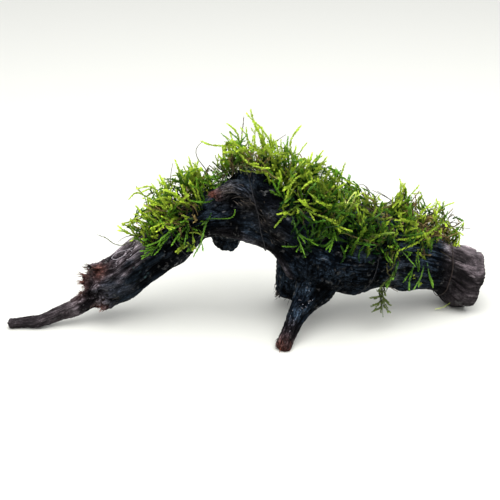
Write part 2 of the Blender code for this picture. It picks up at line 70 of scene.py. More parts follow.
# Middle lines that the grain follows, as x, y, z, half height and half depth in millimetres. They
# start from the place where the limbs were laid out, and MIDDLE is the frame's origin there
MIDDLE = (0.1, 5.4, 0)
GRAIN_LINES = {
    "main": [
        (-125.5, -5, 2.2, 2.6, 2.8), (-118, -4.5, 2.7, 2.9, 3.1), (-110, -4, 3.4, 3.3, 3.5),
        (-103, -3, 6, 3.4, 3.6), (-96.5, -1.5, 8, 3.5, 3.9), (-90, 0, 10.1, 3.8, 4.4),
        (-84, 1.8, 13, 5.2, 5.6), (-78, 3.5, 15.8, 6.6, 7), (-77, 4, 21.4, 10.8, 10.5),
        (-70, 4, 23, 12.2, 11.8), (-61.8, 5, 28.8, 10.9, 12), (-53.3, 5, 35.6, 11.6, 11.4),
        (-42.8, 6, 42, 11.8, 11.6), (-36, 6, 49.5, 10.4, 11.6), (-29.5, 6, 55, 9.6, 11.6),
        (-19, 6, 59, 12, 13), (-8, 6, 60.5, 14, 14.5), (2.5, 5, 60.5, 15.6, 15.5),
        (12, 4, 57.5, 16.2, 15.5), (22, 3.5, 51.5, 17.5, 16), (31, 3, 44.5, 19.4, 16.5),
        (40, 3.5, 39.8, 20.4, 17), (49, 5, 37.8, 20.4, 17), (58, 8, 36.6, 19.2, 16.5),
        (72, 12.5, 33.6, 17.4, 15), (84, 16.5, 29.6, 15.8, 14.2), (94, 19.8, 25, 14.8, 14.4),
        (103, 22, 21.4, 14, 14.8), (112, 23.5, 15.5, 16.4, 16.6), (118, 24.4, 14, 15.2, 15.8),
        (123, 25, 12.9, 13.8, 14.4),
    ],
    "leg": [
        (38, -6.5, 36, 12, 10), (34, 0, 29.8, 13, 12), (31, -4, 23, 10.6, 9.5),
        (26.7, -9, 18, 7, 7), (23.2, -14, 14.2, 5.3, 5.6), (20, -19, 10.2, 4.5, 4.6),
        (17.3, -23.5, 6.2, 4, 4), (15.2, -26.7, 2.4, 3.6, 3.6), (14.2, -28.2, 0.4, 3, 3),
    ],
    "root": [
        (26, 12, 46, 9.5, 10), (24, 17, 36, 8.6, 9.5), (22, 21, 26, 8.2, 9),
        (20.5, 23.5, 16.5, 7.6, 8.5), (19.5, 24.5, 9.5, 6.8, 7.5), (18.5, 25, 4.4, 4.6, 5),
    ],
    "knob": [
        (-8, 11, 54, 9, 9), (-13.4, 17, 45, 7.4, 6.4), (-15, 19.5, 39.4, 7.4, 6.2),
        (-15.2, 21, 36.4, 5.8, 5.2),
    ],
    "dome": [
        (-1, 6, 62, 13.5, 12), (-1.5, 6.5, 70, 12.6, 11.5), (-1, 7.5, 76, 10.6, 10),
        (-0.5, 8.5, 80, 7.5, 7.5),
    ],
    "ledge": [
        (-18, -8, 73.5, 2.6, 2.4), (-14, -5, 74.5, 3.2, 3), (-9, -5, 76.5, 3.4, 3.4),
        (-3, -6.5, 75, 3.6, 3.6), (2, -8.5, 70.5, 3.4, 3.2), (6, -9.5, 65, 3.2, 3),
        (11, -10.5, 57.5, 2.6, 2.6), (16, -11, 50, 2, 2),
    ],
    "lip": [
        (-27, 0, 53, 2.6, 3), (-20, -3, 55, 3.2, 3.5), (-12, -5, 54.5, 3.4, 3.5),
        (-4, -6, 53, 3.4, 3.5), (4, -7, 50.5, 3.4, 3.5), (11, -8, 46.5, 3.4, 3.5),
        (16.5, -9, 39, 3, 3.2), (20.5, -9, 30, 2.4, 2.6),
    ],
    "lump": [
        (-68, 2, 21, 6, 6), (-73, -1, 15.5, 4.2, 4.2), (-76, -4, 12.5, 3, 3.2),
    ],
}
FORK_SWELL = 0.2          # closes the gap between two branches
SKIN_VOXEL = 0.45
SKIN_TRIANGLES = 194000
SMOOTH_PASSES = 14
BRANCH_BLEND = 6          # how sharply the grain changes from one branch to the next
# The bark's relief, in millimetres
GRAIN_BEND_SIZE = (30, 13, 13)
GRAIN_BEND = (0, 2.4, 2.4)
GROOVE_LENGTH, GROOVE_WIDTH, GROOVE_DEPTH = 26, 2.2, 0.65
FIBRE_LENGTH, FIBRE_WIDTH, FIBRE_DEPTH = 9, 1.0, 0.5
LUMP_SIZE, LUMP_HEIGHT = 9.0, 0.9
WRINKLE_SIZE, WRINKLE_HEIGHT = 1.6, 0.6
ROUGH_PATCH = 22
KNOT = (33.4, -23.9, 37.0)
KNOT_REACH, KNOT_RING, KNOT_HEIGHT = 7.5, 2.3, 0.4

# Places where the wood is rougher or another colour, as middle and reach in millimetres
FRAYED = [((-85, -1, 22), 12), ((-76, -8, 14), 8)]
RED = [((-88, -1, 22), 7), ((-76, -12, 10), 3.5), ((-19, -14, 73.5), 4), ((16, -34, 1), 5),
       ((-76, -8, 31), 4)]
FIBROUS = [((-10, -13, 75), 6), ((0, -15, 70), 6), ((8, -17, 62), 5), ((14, -18, 54), 4)]
SAWN_END = [((116, 16, 16), 22)]
PITTED = [((45, -17, 30), 15), ((62, -8, 25), 12), ((24, 14, 22), 16), ((80, -2, 24), 10),
          ((-12, 12, 38), 9)]


def linear(code):
    """An sRGB hex colour as linear red, green and blue."""
    parts = [int(code[i:i + 2], 16) / 255 for i in (1, 3, 5)]
    return [p / 12.92 if p <= 0.04045 else ((p + 0.055) / 1.055) ** 2.4 for p in parts]


def mix(a, b, share):
    """From a to b by share, for plain numbers and for rows of them."""
    return a + (b - a) * share


def ramp(value, low, high):
    """0 below low, 1 above high and smooth between them."""
    t = np.clip((value - low) / (high - low), 0, 1)
    return t * t * (3 - 2 * t)


def wander(points, seed):
    """Smooth noise from -1 to 1 at rows of three numbers, the same at each run."""
    cell = np.floor(points).astype(np.int64)
    part = points - cell
    part = part * part * (3 - 2 * part)
    total = np.zeros(len(points))
    for corner in itertools.product((0, 1), repeat=3):
        key = ((cell + corner) * (73856093, 19349663, 83492791)).sum(axis=1) + seed * 97241
        key = (key ^ (key >> 13)) * 60493 & 0xFFFFFFFF
        key = (key ^ (key >> 11)) * 19379 & 0xFFFFFFFF
        value = ((key >> 8) & 0xFFFF) / 32767.5 - 1
        total += value * np.where(corner, part, 1 - part).prod(axis=1)
    return total


def near(points, spots):
    """How close points are to any of the spots, from 0 to 1."""
    closest = np.zeros(len(points))
    for middle, reach in spots:
        gone = np.linalg.norm(points - middle, axis=1) / reach
        closest = np.maximum(closest, np.exp(-gone ** 2))
    return closest


def smooth_line(rows, step):
    """Rows on a smooth curve through the given rows, a step apart."""
    rows = np.array(rows, float)
    gone = np.linalg.norm(np.diff(rows[:, :3], axis=0), axis=1)
    length = np.concatenate([[0], np.cumsum(gone)])
    spots = np.linspace(0, length[-1], max(3, round(length[-1] / step) + 1))
    line = np.stack([np.interp(spots, length, column) for column in rows.T], axis=1)
    for _ in range(max(1, round(2 / step) ** 2)):
        line[1:-1] = (line[:-2] + 2 * line[1:-1] + line[2:]) / 4
    return line


def headings(line):
    """Unit vectors along a line, and two across it that turn with it as little as they can."""
    ahead = np.gradient(line[:, :3], axis=0)
    ahead /= np.linalg.norm(ahead, axis=1)[:, None]
    side = np.cross(ahead[0], (0.3, -0.2, 1.0))
    sides = []
    for way in ahead:
        side = side - way * (side @ way)
        side = side / np.linalg.norm(side)
        sides.append(side)
    sides = np.array(sides)
    return ahead, sides, np.cross(ahead, sides)


def bark_height(grain, rough, seed):
    """Long grooves and finer fibres along the grain, in millimetres."""
    drift = np.stack([wander(grain / GRAIN_BEND_SIZE, seed + k) for k in range(3)], axis=1)
    flow = grain + drift * GRAIN_BEND
    groove = np.abs(wander(flow / (GROOVE_LENGTH, GROOVE_WIDTH, GROOVE_WIDTH), seed + 3))
    fibre = np.abs(wander(flow / (FIBRE_LENGTH, FIBRE_WIDTH, FIBRE_WIDTH), seed + 4))
    return rough * (GROOVE_DEPTH * (ramp(groove, 0, 0.42) - 0.62)
                    + FIBRE_DEPTH * (ramp(fibre, 0, 0.5) - 0.55))


def fuse_branches():
    """Copies of the CAD branches as one smooth closed skin."""
    bpy.ops.object.select_all(action="DESELECT")
    for name in WOOD_NODES:
        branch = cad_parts[name].copy()
        branch.data = branch.data.copy()
        branch.parent = None
        for key in list(branch.keys()):
            del branch[key]
        bpy.context.scene.collection.objects.link(branch)
        branch.select_set(True)
        bpy.context.view_layer.objects.active = branch
    bpy.ops.object.join()
    fused = bpy.context.object
    fused.data.materials.clear()
    bpy.ops.object.mode_set(mode="EDIT")
    bpy.ops.mesh.select_all(action="SELECT")
    bpy.ops.mesh.remove_doubles(threshold=0.01 * MM)
    bpy.ops.mesh.customdata_custom_splitnormals_clear()
    bpy.ops.object.mode_set(mode="OBJECT")
    swell = fused.modifiers.new("Close the forks", "DISPLACE")
    swell.mid_level = 0
    swell.strength = FORK_SWELL * MM
    fusing = fused.modifiers.new("Fuse", "REMESH")
    fusing.mode = "VOXEL"
    fusing.voxel_size = SKIN_VOXEL * MM
    soften = fused.modifiers.new("Soften the facets", "SMOOTH")
    soften.iterations = SMOOTH_PASSES
    for step in list(fused.modifiers):
        bpy.ops.object.modifier_apply(modifier=step.name)
    return fused


def rows_of(mesh, name, count):
    """A mesh's points or normals as rows."""
    flat = np.empty(len(mesh.vertices) * count)
    mesh.vertices.foreach_get(name, flat)
    return flat.reshape(-1, count)


skin = fuse_branches()
skin.name = skin.data.name = "driftwood_skin"
places = rows_of(skin.data, "co", 3) / MM
facing = rows_of(skin.data, "normal", 3)

# Each point's place along and across the grain, and the bark's height there
reach = []
grains = []
for rows in GRAIN_LINES.values():
    rows = np.array(rows)
    line = smooth_line(np.column_stack([rows[:, :3] - MIDDLE, rows[:, 3:].mean(axis=1)]), 1.0)
    ahead, side, over = headings(line)
    spot = np.empty(len(places), int)
    for start in range(0, len(places), 20000):
        part = places[start:start + 20000]
        gone = (line[:, :3] ** 2).sum(axis=1) - 2 * part @ line[:, :3].T
        spot[start:start + 20000] = gone.argmin(axis=1)
    offset = places - line[spot, :3]
    reach.append(np.linalg.norm(offset, axis=1) / line[spot, 3])
    along = spot * 1.0 + (offset * ahead[spot]).sum(axis=1)
    grains.append(np.stack([along, (offset * side[spot]).sum(axis=1),
                            (offset * over[spot]).sum(axis=1)], axis=1))
reach = np.array(reach)
share = np.exp(-BRANCH_BLEND * (reach - reach.min(axis=0)))
share /= share.sum(axis=0)

frayed = near(places, FRAYED)
fibrous = near(places, FIBROUS)
sawn = near(places, SAWN_END)
pitted = near(places, PITTED)
red = near(places, RED)
under = ramp(-facing[:, 2], 0.1, 0.8)
rough = (0.95 + 0.5 * wander(places / ROUGH_PATCH, 7)) * (1 - 0.55 * under) + 0.9 * frayed - 0.5 * sawn
rough = rough + 0.5 * fibrous
height = np.zeros(len(places))
for number, grain in enumerate(grains):
    close = share[number] > 0.02
    height[close] += share[number][close] * bark_height(grain[close], rough[close], number * 11)
lumps = wander(places / LUMP_SIZE, 71)
wrinkle = 1 - 2 * np.abs(wander(places / WRINKLE_SIZE, 72))
from_knot = np.linalg.norm(places - KNOT, axis=1)
rings = np.sin(2 * math.pi * from_knot / KNOT_RING + 2 * lumps)
height += LUMP_HEIGHT * (lumps * (1 - 0.7 * sawn) - 0.9 * sawn)
height += WRINKLE_HEIGHT * wrinkle * (0.35 + pitted + frayed) * 0.8
height += KNOT_HEIGHT * rings * np.exp(-(from_knot / KNOT_REACH) ** 2)

moved = places + facing * height[:, None]
moved[:, 2] = np.maximum(moved[:, 2], 0)
skin.data.vertices.foreach_set("co", (moved * MM).astype(np.float32).ravel())

# The soaked wood's colours: blue black where it is wettest, grey brown on the spur, on the left
# limb's back and on the sawn right end, rusty where it was torn. Each groove is painted darker as
# shade, and the crests are paler where the fibres wore
WET = [np.array(linear(code)) for code in ("#010204", "#04080e", "#26303b")]
GREY = [np.array(linear(code)) for code in ("#121012", "#2b2629", "#786f74")]
WORN = [np.array(linear(code)) for code in ("#121011", "#2f2a2c", "#877d80")]
RUST = np.array(linear("#5e382e"))
TAN = np.array(linear("#4a4038"))
GLINT = np.array(linear("#7fa3a6"))
# Stretches over which one look turns into the next, in millimetres left or right of the middle
LIMB_GREYS = (44, 60)
BROKEN_END = (76, 88)
SPUR_STARTS = (84, 94)
LEFT_CALMS = (30, 50)
SAWN_WOOD = (97, 106)
SAWN_TOP = (98, 108)
RIGHT_CALMS = (96, 106)
# Sizes of the stains and of the painted glints, in millimetres
GREY_PATCH, STAIN, SPECKLE, GLINT_SPECK = 12, 5, 1.3, 0.9
EDGE_OF_GREY = [((17, -31, 4), 11), ((-78, -9, 14), 8)]
# Painted shade: the trunk's front, the dome under the moss, the hollow and the left limb's middle
PAINTED_SHADE_SPOTS = [((15, -17, 60), 12), ((0, -4, 80), 13), ((-7, -12, 61), 9), ((-50, -6, 30), 15),
           ((-22, -8, 65), 8)]
# Where glints of tiny air bubbles on the wet bark are painted into the colour as pale specks
GLINTS = [((-56, -8, 32), 6)]

across = places[:, 0]
spur = ramp(-across, *SPUR_STARTS)
crest = mix(ramp(height, -1.0, 0.8), 0.5, 0.75 * spur)[:, None]
upward = ramp(facing[:, 2], -0.3, 0.8)
top = ramp(facing[:, 2], 0.1, 0.55)
lip = share[list(GRAIN_LINES).index("lip")]
# The left limb's upper faces are greyer, partly weathered grey and partly painted light from above
grey = np.maximum(1.2 * ramp(-across, *LIMB_GREYS) * top, ramp(-across, *BROKEN_END))
grey = np.maximum(grey, 0.85 * near(places, EDGE_OF_GREY))
grey = np.maximum(grey, 0.7 * lip)
grey = np.clip(grey + 0.25 * wander(places / GREY_PATCH, 80) - 0.1, 0, 1)[:, None]
# The sawn end's worn grey is a little stronger on faces turned up, as painted light
worn = np.maximum(ramp(across, *SAWN_WOOD) * (0.75 + 0.25 * upward), 0.6 * spur)[:, None]


def tones(paints):
    """From groove to body to crest, by the bark's height."""
    return np.where(crest < 0.5, mix(paints[0], paints[1], crest * 2),
                    mix(paints[1], paints[2], (crest * 2 - 1) ** 1.5))


# Grooves painted darker as shade, crests paler as worn fibre
colour = mix(mix(tones(WET), tones(GREY), grey), tones(WORN), worn)
colour = mix(colour, TAN, 0.6 * (fibrous[:, None] * crest ** 2.5))
colour = mix(colour, RUST, np.clip(red * 1.2, 0, 1)[:, None] * (0.15 + 0.75 * crest))
mottle_and_painted_light = 1 + 0.4 * wander(places / STAIN, 81) + 0.45 * wander(places / SPECKLE, 82)
# Faces turned up are painted lighter and faces turned down darker, as light from above
mottle_and_painted_light *= 0.6 + 1.2 * ramp(facing[:, 2], 0.0, 1.0)
mottle_and_painted_light = mix(mottle_and_painted_light, 0.92, 0.8 * spur)
mottle_and_painted_light = mix(mottle_and_painted_light, 1.5, 0.6 * ramp(across, *SAWN_WOOD))
# The sawn end's top is painted lighter, as light from above
mottle_and_painted_light *= 1 + 2.2 * ramp(across, *SAWN_TOP) * ramp(facing[:, 2], 0.45, 0.75)
# Painted shade at those places
mottle_and_painted_light *= 1 - 0.68 * near(places, PAINTED_SHADE_SPOTS)
colour = np.clip(colour * mottle_and_painted_light[:, None], 0, 1)
# Painted glints: pale teal specks mixed into the colour
glint = ramp(wander(places / GLINT_SPECK, 83), 0.5, 0.8) * ramp(near(places, GLINTS), 0.3, 0.6)
colour = mix(colour, GLINT, glint[:, None])

calm = 0.55 * ramp(across, *RIGHT_CALMS) + 0.35 * ramp(-across, *LEFT_CALMS)
evenness = skin.data.attributes.new("evenness", "FLOAT", "POINT")
evenness.data.foreach_set("value", calm)
tint = skin.data.color_attributes.new("tint", "FLOAT_COLOR", "POINT")
tint.data.foreach_set("color", np.hstack([colour, np.ones((len(colour), 1))]).ravel())
main_grain = np.array(grains)[share.argmax(axis=0), np.arange(len(places))]
strands = skin.data.attributes.new("grain", "FLOAT_VECTOR", "POINT")
strands.data.foreach_set("vector", main_grain.ravel())

thin = skin.modifiers.new("Thin out flat places", "DECIMATE")
skin.data.calc_loop_triangles()
thin.ratio = min(1, SKIN_TRIANGLES / len(skin.data.loop_triangles))
bpy.ops.object.modifier_apply(modifier=thin.name)
skin.data.shade_smooth()


def new_material(name):
    """A node material with its Principled shader, ready for nodes."""
    made = bpy.data.materials.new(name)
    made.use_nodes = True
    return made, made.node_tree.nodes["Principled BSDF"]


def add_node(material, kind, inputs, **settings):
    """A node with its settings; an input is a value or another node's output."""
    node = material.node_tree.nodes.new(kind)
    for key, value in settings.items():
        setattr(node, key, value)
    for key, value in inputs.items():
        if isinstance(value, bpy.types.NodeSocket):
            material.node_tree.links.new(value, node.inputs[key])
        else:
            node.inputs[key].default_value = value
    return node


# Waterlogged driftwood: dark lignin soaked with water, matt in its grooves with a damp sheen on
# the worn places. Its fibres are 0.3 to 1 mm wide and run with the grain, which is in millimetres.
FIBRE_PATTERN = (0.2, 1.9, 1.9)      # a fibre 5 mm long and 0.5 mm wide
SPECK_PATTERN = 1 / 0.8              # pores 0.8 mm apart, whose pale specks are partly painted glints
FILM_PATTERN = 1 / 2.5               # damp films that glint, 2.5 mm apart
bark, shader = new_material("waterlogged driftwood bark")
grain_place = add_node(bark, "ShaderNodeAttribute", {}, attribute_name="grain")
tint_place = add_node(bark, "ShaderNodeAttribute", {}, attribute_name="tint")
stretched = add_node(bark, "ShaderNodeMapping",
                     {"Vector": grain_place.outputs["Vector"], "Scale": FIBRE_PATTERN})
fibres = add_node(bark, "ShaderNodeTexNoise",
                  {"Vector": stretched.outputs["Vector"], "Scale": 1.0, "Detail": 5.0,
                   "Roughness": 0.7})
specks = add_node(bark, "ShaderNodeTexNoise",
                  {"Vector": grain_place.outputs["Vector"], "Scale": SPECK_PATTERN, "Detail": 3.0,
                   "Roughness": 0.6})
# Pale lines and specks in the colour: partly pale fibre, partly painted highlights of wet bark
pale_fibres_and_highlights = add_node(bark, "ShaderNodeMapRange",
                       {"Value": fibres.outputs["Fac"], "From Min": 0.44, "From Max": 0.72,
                        "To Min": 0.35, "To Max": 3.6})
pale_specks_and_glints = add_node(bark, "ShaderNodeMapRange",
                       {"Value": specks.outputs["Fac"], "From Min": 0.5, "From Max": 0.7,
                        "To Min": 0.75, "To Max": 2.2})
shading = add_node(bark, "ShaderNodeMath",
                   {0: pale_fibres_and_highlights.outputs["Result"], 1: pale_specks_and_glints.outputs["Result"]},
                   operation="MULTIPLY")
even_place = add_node(bark, "ShaderNodeAttribute", {}, attribute_name="evenness")
settled = add_node(bark, "ShaderNodeMapRange",
                   {"Value": even_place.outputs["Fac"], "To Min": shading.outputs["Value"],
                    "To Max": 1.35})
coloured = add_node(bark, "ShaderNodeVectorMath",
                    {0: tint_place.outputs["Color"], "Scale": settled.outputs["Result"]},
                    operation="SCALE")
films = add_node(bark, "ShaderNodeTexNoise",
                 {"Vector": grain_place.outputs["Vector"], "Scale": FILM_PATTERN, "Detail": 2.0})
wet = add_node(bark, "ShaderNodeMapRange",
               {"Value": films.outputs["Fac"], "From Min": 0.6, "From Max": 0.68,
                "To Min": 0.0, "To Max": 1.0})
relief = add_node(bark, "ShaderNodeMath",
                  {0: fibres.outputs["Fac"], 1: specks.outputs["Fac"]}, operation="ADD")
bump = add_node(bark, "ShaderNodeBump",
                {"Height": relief.outputs["Value"], "Strength": 1.0, "Distance": 0.6 * MM})
bark.node_tree.links.new(coloured.outputs["Vector"], shader.inputs["Base Color"])
bark.node_tree.links.new(wet.outputs["Result"], shader.inputs["Coat Weight"])
bark.node_tree.links.new(bump.outputs["Normal"], shader.inputs["Normal"])
shader.inputs["Roughness"].default_value = 0.5
shader.inputs["Specular IOR Level"].default_value = 0.02
shader.inputs["Coat Roughness"].default_value = 0.12
shader.inputs["Coat IOR"].default_value = 1.33
skin.data.materials.append(bark)
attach(skin, "root")
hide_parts(*WOOD_NODES)

# Broken fibres
# Splinters and frayed fibres of the same wood, torn and swollen with water, at the broken left
# end, the lump below it, the snapped stub, the leg's tip and along the layered ledge.
# Each patch is a middle, its reach, the way its fibres point, their length and their number
FIBRE_PATCHES = [
    ((-85, -1, 22), (2.5, 7, 6.5), (-1.0, 0.0, 0.12), 4.2, 110),
    ((-82, -3, 29), (4, 5, 2), (-1.0, -0.1, 0.35), 3.6, 50),
    ((-77, -9, 12), (3, 3, 2), (-0.8, -0.3, -0.5), 2.8, 50),
    ((-70, -9, 16), (5, 3, 3), (-1.0, -0.2, -0.2), 4.0, 40),
    ((-19.5, -13.5, 73.5), (1.5, 2, 1.8), (-1.0, -0.1, -0.05), 3.6, 44),
    ((16.5, -32.5, 3), (2.5, 2.2, 1.8), (-0.2, -0.35, -0.9), 4.5, 60),
    ((17.5, 20, 8), (4, 4, 5), (-0.5, 0.1, -0.8), 5.5, 60),
    ((-10, -14.5, 76), (6, 2, 2), (-1.0, -0.1, 0.0), 6.0, 34),
    ((0, -16.5, 71), (4, 2, 3), (-0.8, 0.0, 0.6), 5.0, 36),
    ((7, -18, 62), (4, 2, 5), (-0.5, 0.0, 0.85), 4.0, 26),
    ((13, -18.5, 53), (3, 2, 4), (-0.45, 0.0, 0.9), 4.0, 18),
]
FIBRE_RADIUS = 0.18
FIBRE_SINKS = 0.4         # how far a fibre's foot lies below the bark
FIBRE_TAPER = np.array([1, 1, 0.8, 0.5, 0.06])
DARK_FIBRE = np.array(linear("#141112"))
DRY_FIBRE = np.array(linear("#50483f"))
RED_FIBRE = np.array(linear("#6b3c2f"))
# Pale rootlets that curl over the left limb's back, and small pale specks on the front leg, by
# their pixels in the photograph
PHOTO_SIZE = 500
ROOTLETS = [
    [(112.5, 259), (115, 260.5), (120, 258.3), (126, 255), (127.6, 253), (125, 250.8)],
    [(111.7, 258.5), (113.5, 255), (117.5, 252.5), (124, 250.8), (128.5, 249.3), (133, 247.7)],
    [(129.2, 249), (131.7, 250.2), (133.2, 253), (130, 255.8)],
    [(116.2, 263.5), (116.4, 266.5)],
    [(127, 260), (128.2, 259.2)],
]
SPECKS = [
    (299, 300), (300.5, 300), (311, 300.5), (312.5, 300), (299.5, 305.5), (301.5, 308),
    (300, 310), (303, 304.5), (306, 307), (308.5, 303.5), (293, 310.5), (290.5, 316),
    (293.5, 320.5), (290, 331), (292, 325),
]
ROOTLET_RADIUS, ROOTLET_COLOUR = 0.21, "#a7a1a8"
SPECK_RADIUS, SPECK_COLOUR = 0.13, "#8b8890"
ON_BARK = 0.12            # how far a rootlet's middle lies over the bark


def tube_rings(path, radii, sides):
    """Corners and faces of a tube that tapers along a path, in millimetres."""
    path = np.asarray(path, float)
    ahead, side, over = headings(path)
    turns = np.arange(sides) * 2 * math.pi / sides
    ring = side[:, None] * np.cos(turns)[:, None] + over[:, None] * np.sin(turns)[:, None]
    corners = (path[:, None] + ring * np.asarray(radii)[:, None, None]).reshape(-1, 3)
    first = np.arange(len(path) - 1)[:, None] * sides
    here, beside = np.arange(sides), (np.arange(sides) + 1) % sides
    quads = np.stack([first + here, first + beside, first + beside + sides,
                      first + here + sides], axis=2).reshape(-1, 4)
    return corners, quads


def bend(points, count):
    """A smooth path of so many points from the first of three or more points to the last."""
    points = np.asarray(points, float)
    t = np.linspace(0, 1, count)[:, None]
    while len(points) > 1:
        points = [mix(a, b, t) for a, b in zip(points, points[1:])]
    return points[0]


class Bundle:
    """Many small strands collected for one joined mesh."""

    def __init__(self):
        self.corners = []
        self.faces = []
        self.colours = []
        self.count = 0

    def add(self, corners, faces, colours):
        self.corners.append(corners)
        self.faces.append(faces + self.count)
        self.colours.append(colours)
        self.count += len(corners)

    def piece(self, name, material):
        """The strands as one object, with their colours in the attribute tint."""
        mesh = bpy.data.meshes.new(name)
        corners = np.concatenate(self.corners) * MM
        faces = [face for group in self.faces for face in group.tolist()]
        mesh.from_pydata(corners.tolist(), [], faces)
        colours = np.hstack([np.concatenate(self.colours), np.ones((len(corners), 1))])
        tint = mesh.color_attributes.new("tint", "FLOAT_COLOR", "POINT")
        tint.data.foreach_set("color", colours.ravel())
        mesh.materials.append(material)
        made = bpy.data.objects.new(name, mesh)
        bpy.context.scene.collection.objects.link(made)
        return made


wood_shape = BVHTree.FromObject(skin, bpy.context.evaluated_depsgraph_get())


def on_wood(place):
    """The wood's nearest point to a place and the way it faces, in millimetres."""
    spot, way, _, _ = wood_shape.find_nearest(Vector(place) * MM)
    return np.array(spot) / MM, np.array(way)


def seen_at(across, down, behind):
    """The place that the camera sees at a pixel of the photograph, in millimetres.

    It lies so far behind the middle of the wood."""
    pixel = SENSOR / LENS / PHOTO_SIZE
    rise = (PHOTO_SIZE / 2 - down) * pixel
    sine, cosine = math.sin(CAMERA_TILT), math.cos(CAMERA_TILT)
    away = CAMERA_DISTANCE / MM
    up = (rise * (away + behind * cosine) - behind * sine) / (cosine + rise * sine)
    depth = away + behind * cosine - up * sine
    return np.array(CAMERA_TARGET) / MM + ((across - PHOTO_SIZE / 2) * pixel * depth, behind, up)


def seen_on_wood(across, down):
    """The place on the wood that the camera sees at a pixel, and the way the wood faces there."""
    eye = camera.location
    far = Vector(seen_at(across, down, 0)) * MM - eye
    spot, way, _, _ = wood_shape.ray_cast(eye, far.normalized())
    return np.array(spot) / MM, np.array(way)


draw = np.random.default_rng(5)
fibre_bundle = Bundle()
for middle, spread, way, length, count in FIBRE_PATCHES:
    for _ in range(count):
        foot, out = on_wood(np.array(middle) + draw.normal(0, 0.6, 3) * spread)
        lean = np.array(way) + draw.normal(0, 0.22, 3) + out * draw.uniform(-0.05, 0.3)
        size = length * draw.uniform(0.45, 1.1)
        foot = foot - out * FIBRE_SINKS - np.array(way) * 0.5
        tip = foot + lean / np.linalg.norm(lean) * size
        knee = (foot + tip) / 2 + draw.normal(0, 0.12, 3) * size
        path = bend([foot, knee, tip], 5)
        path[:, 2] = np.maximum(path[:, 2], FIBRE_RADIUS)
        thick = FIBRE_RADIUS * draw.uniform(0.5, 1.6)
        corners, quads = tube_rings(path, thick * FIBRE_TAPER, 4)
        rusty = near(corners, RED)[:, None]
        shade = mix(DARK_FIBRE, DRY_FIBRE, draw.uniform(0, 1) ** 2)
        shade = mix(shade, RED_FIBRE, np.clip(rusty * 1.4, 0, 1))
        fibre_bundle.add(corners, quads, shade * draw.uniform(0.5, 1.3))

trails = []
for line in ROOTLETS:
    trails.append((ROOTLET_RADIUS, ROOTLET_COLOUR, [seen_on_wood(*pixel) for pixel in line]))
for pixel in SPECKS:
    spot, way = seen_on_wood(*pixel)
    lean = np.cross(way, draw.normal(0, 1, 3)) * draw.uniform(0.2, 0.4)
    trails.append((SPECK_RADIUS, SPECK_COLOUR, [(spot - lean, way), (spot + lean, way)]))
for thick, code, stops in trails:
    path = smooth_line([spot + way * ON_BARK for spot, way in stops], 0.5)
    corners, quads = tube_rings(path, np.linspace(thick, 0.6 * thick, len(path)), 4)
    fibre_bundle.add(corners, quads, np.tile(linear(code), (len(corners), 1)))


def shade_tint(material, size, seen, light):
    """Paint a material with its piece's own tint, darker and lighter by noise of a size in mm.

    The light goes from its first value to its second as the noise goes so through seen."""
    tint_place = add_node(material, "ShaderNodeAttribute", {}, attribute_name="tint")
    place = add_node(material, "ShaderNodeTexCoord", {})
    noise = add_node(material, "ShaderNodeTexNoise",
                     {"Vector": place.outputs["Object"], "Scale": 1 / (size * MM), "Detail": 2.0})
    shading = add_node(material, "ShaderNodeMapRange",
                       {"Value": noise.outputs["Fac"], "From Min": seen[0], "From Max": seen[1],
                        "To Min": light[0], "To Max": light[1]})
    coloured = add_node(material, "ShaderNodeVectorMath",
                        {0: tint_place.outputs["Color"], "Scale": shading.outputs["Result"]},
                        operation="SCALE")
    principled = material.node_tree.nodes["Principled BSDF"]
    material.node_tree.links.new(coloured.outputs["Vector"], principled.inputs["Base Color"])
    return coloured.outputs["Vector"]


# Torn driftwood fibre: bare lignin without bark, matt and a little lighter where it has dried, in
# streaks a little under a millimetre long
torn, shader = new_material("torn driftwood fibre")
shade_tint(torn, 0.8, (0.35, 0.65), (0.6, 1.4))
shader.inputs["Roughness"].default_value = 0.6
shader.inputs["Specular IOR Level"].default_value = 0.3
fibre_piece = fibre_bundle.piece("driftwood_fibres", torn)
fibre_piece.data.shade_smooth()
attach(fibre_piece, "root")

# Moss
# Java moss: branched fronds 2 to 3 mm wide and 1 to 3 cm long with two rows of tiny pointed
# leaves, tied on as a mat whose old brown stems hold to the bark. Fresh tips are yellow green.
LEAF_STEP = 0.36
LEAF_WIDTH = 0.34         # half of a leaf's width, as a share of its length
LEAF_ROLL = 0.65          # how far round the stem a leaf may sit, in radians
LEAF_ANGLE = (32, 7)      # between a leaf and its stem, and how much it varies, in degrees
STEM_RADIUS = 0.17
STEM_STEP = 2.4
BARE_UNDER = 0.8          # a stem whose leaves are shorter than this is nearly bare
BARE_STEM = 1.8           # and is drawn so much thicker, so that it shows
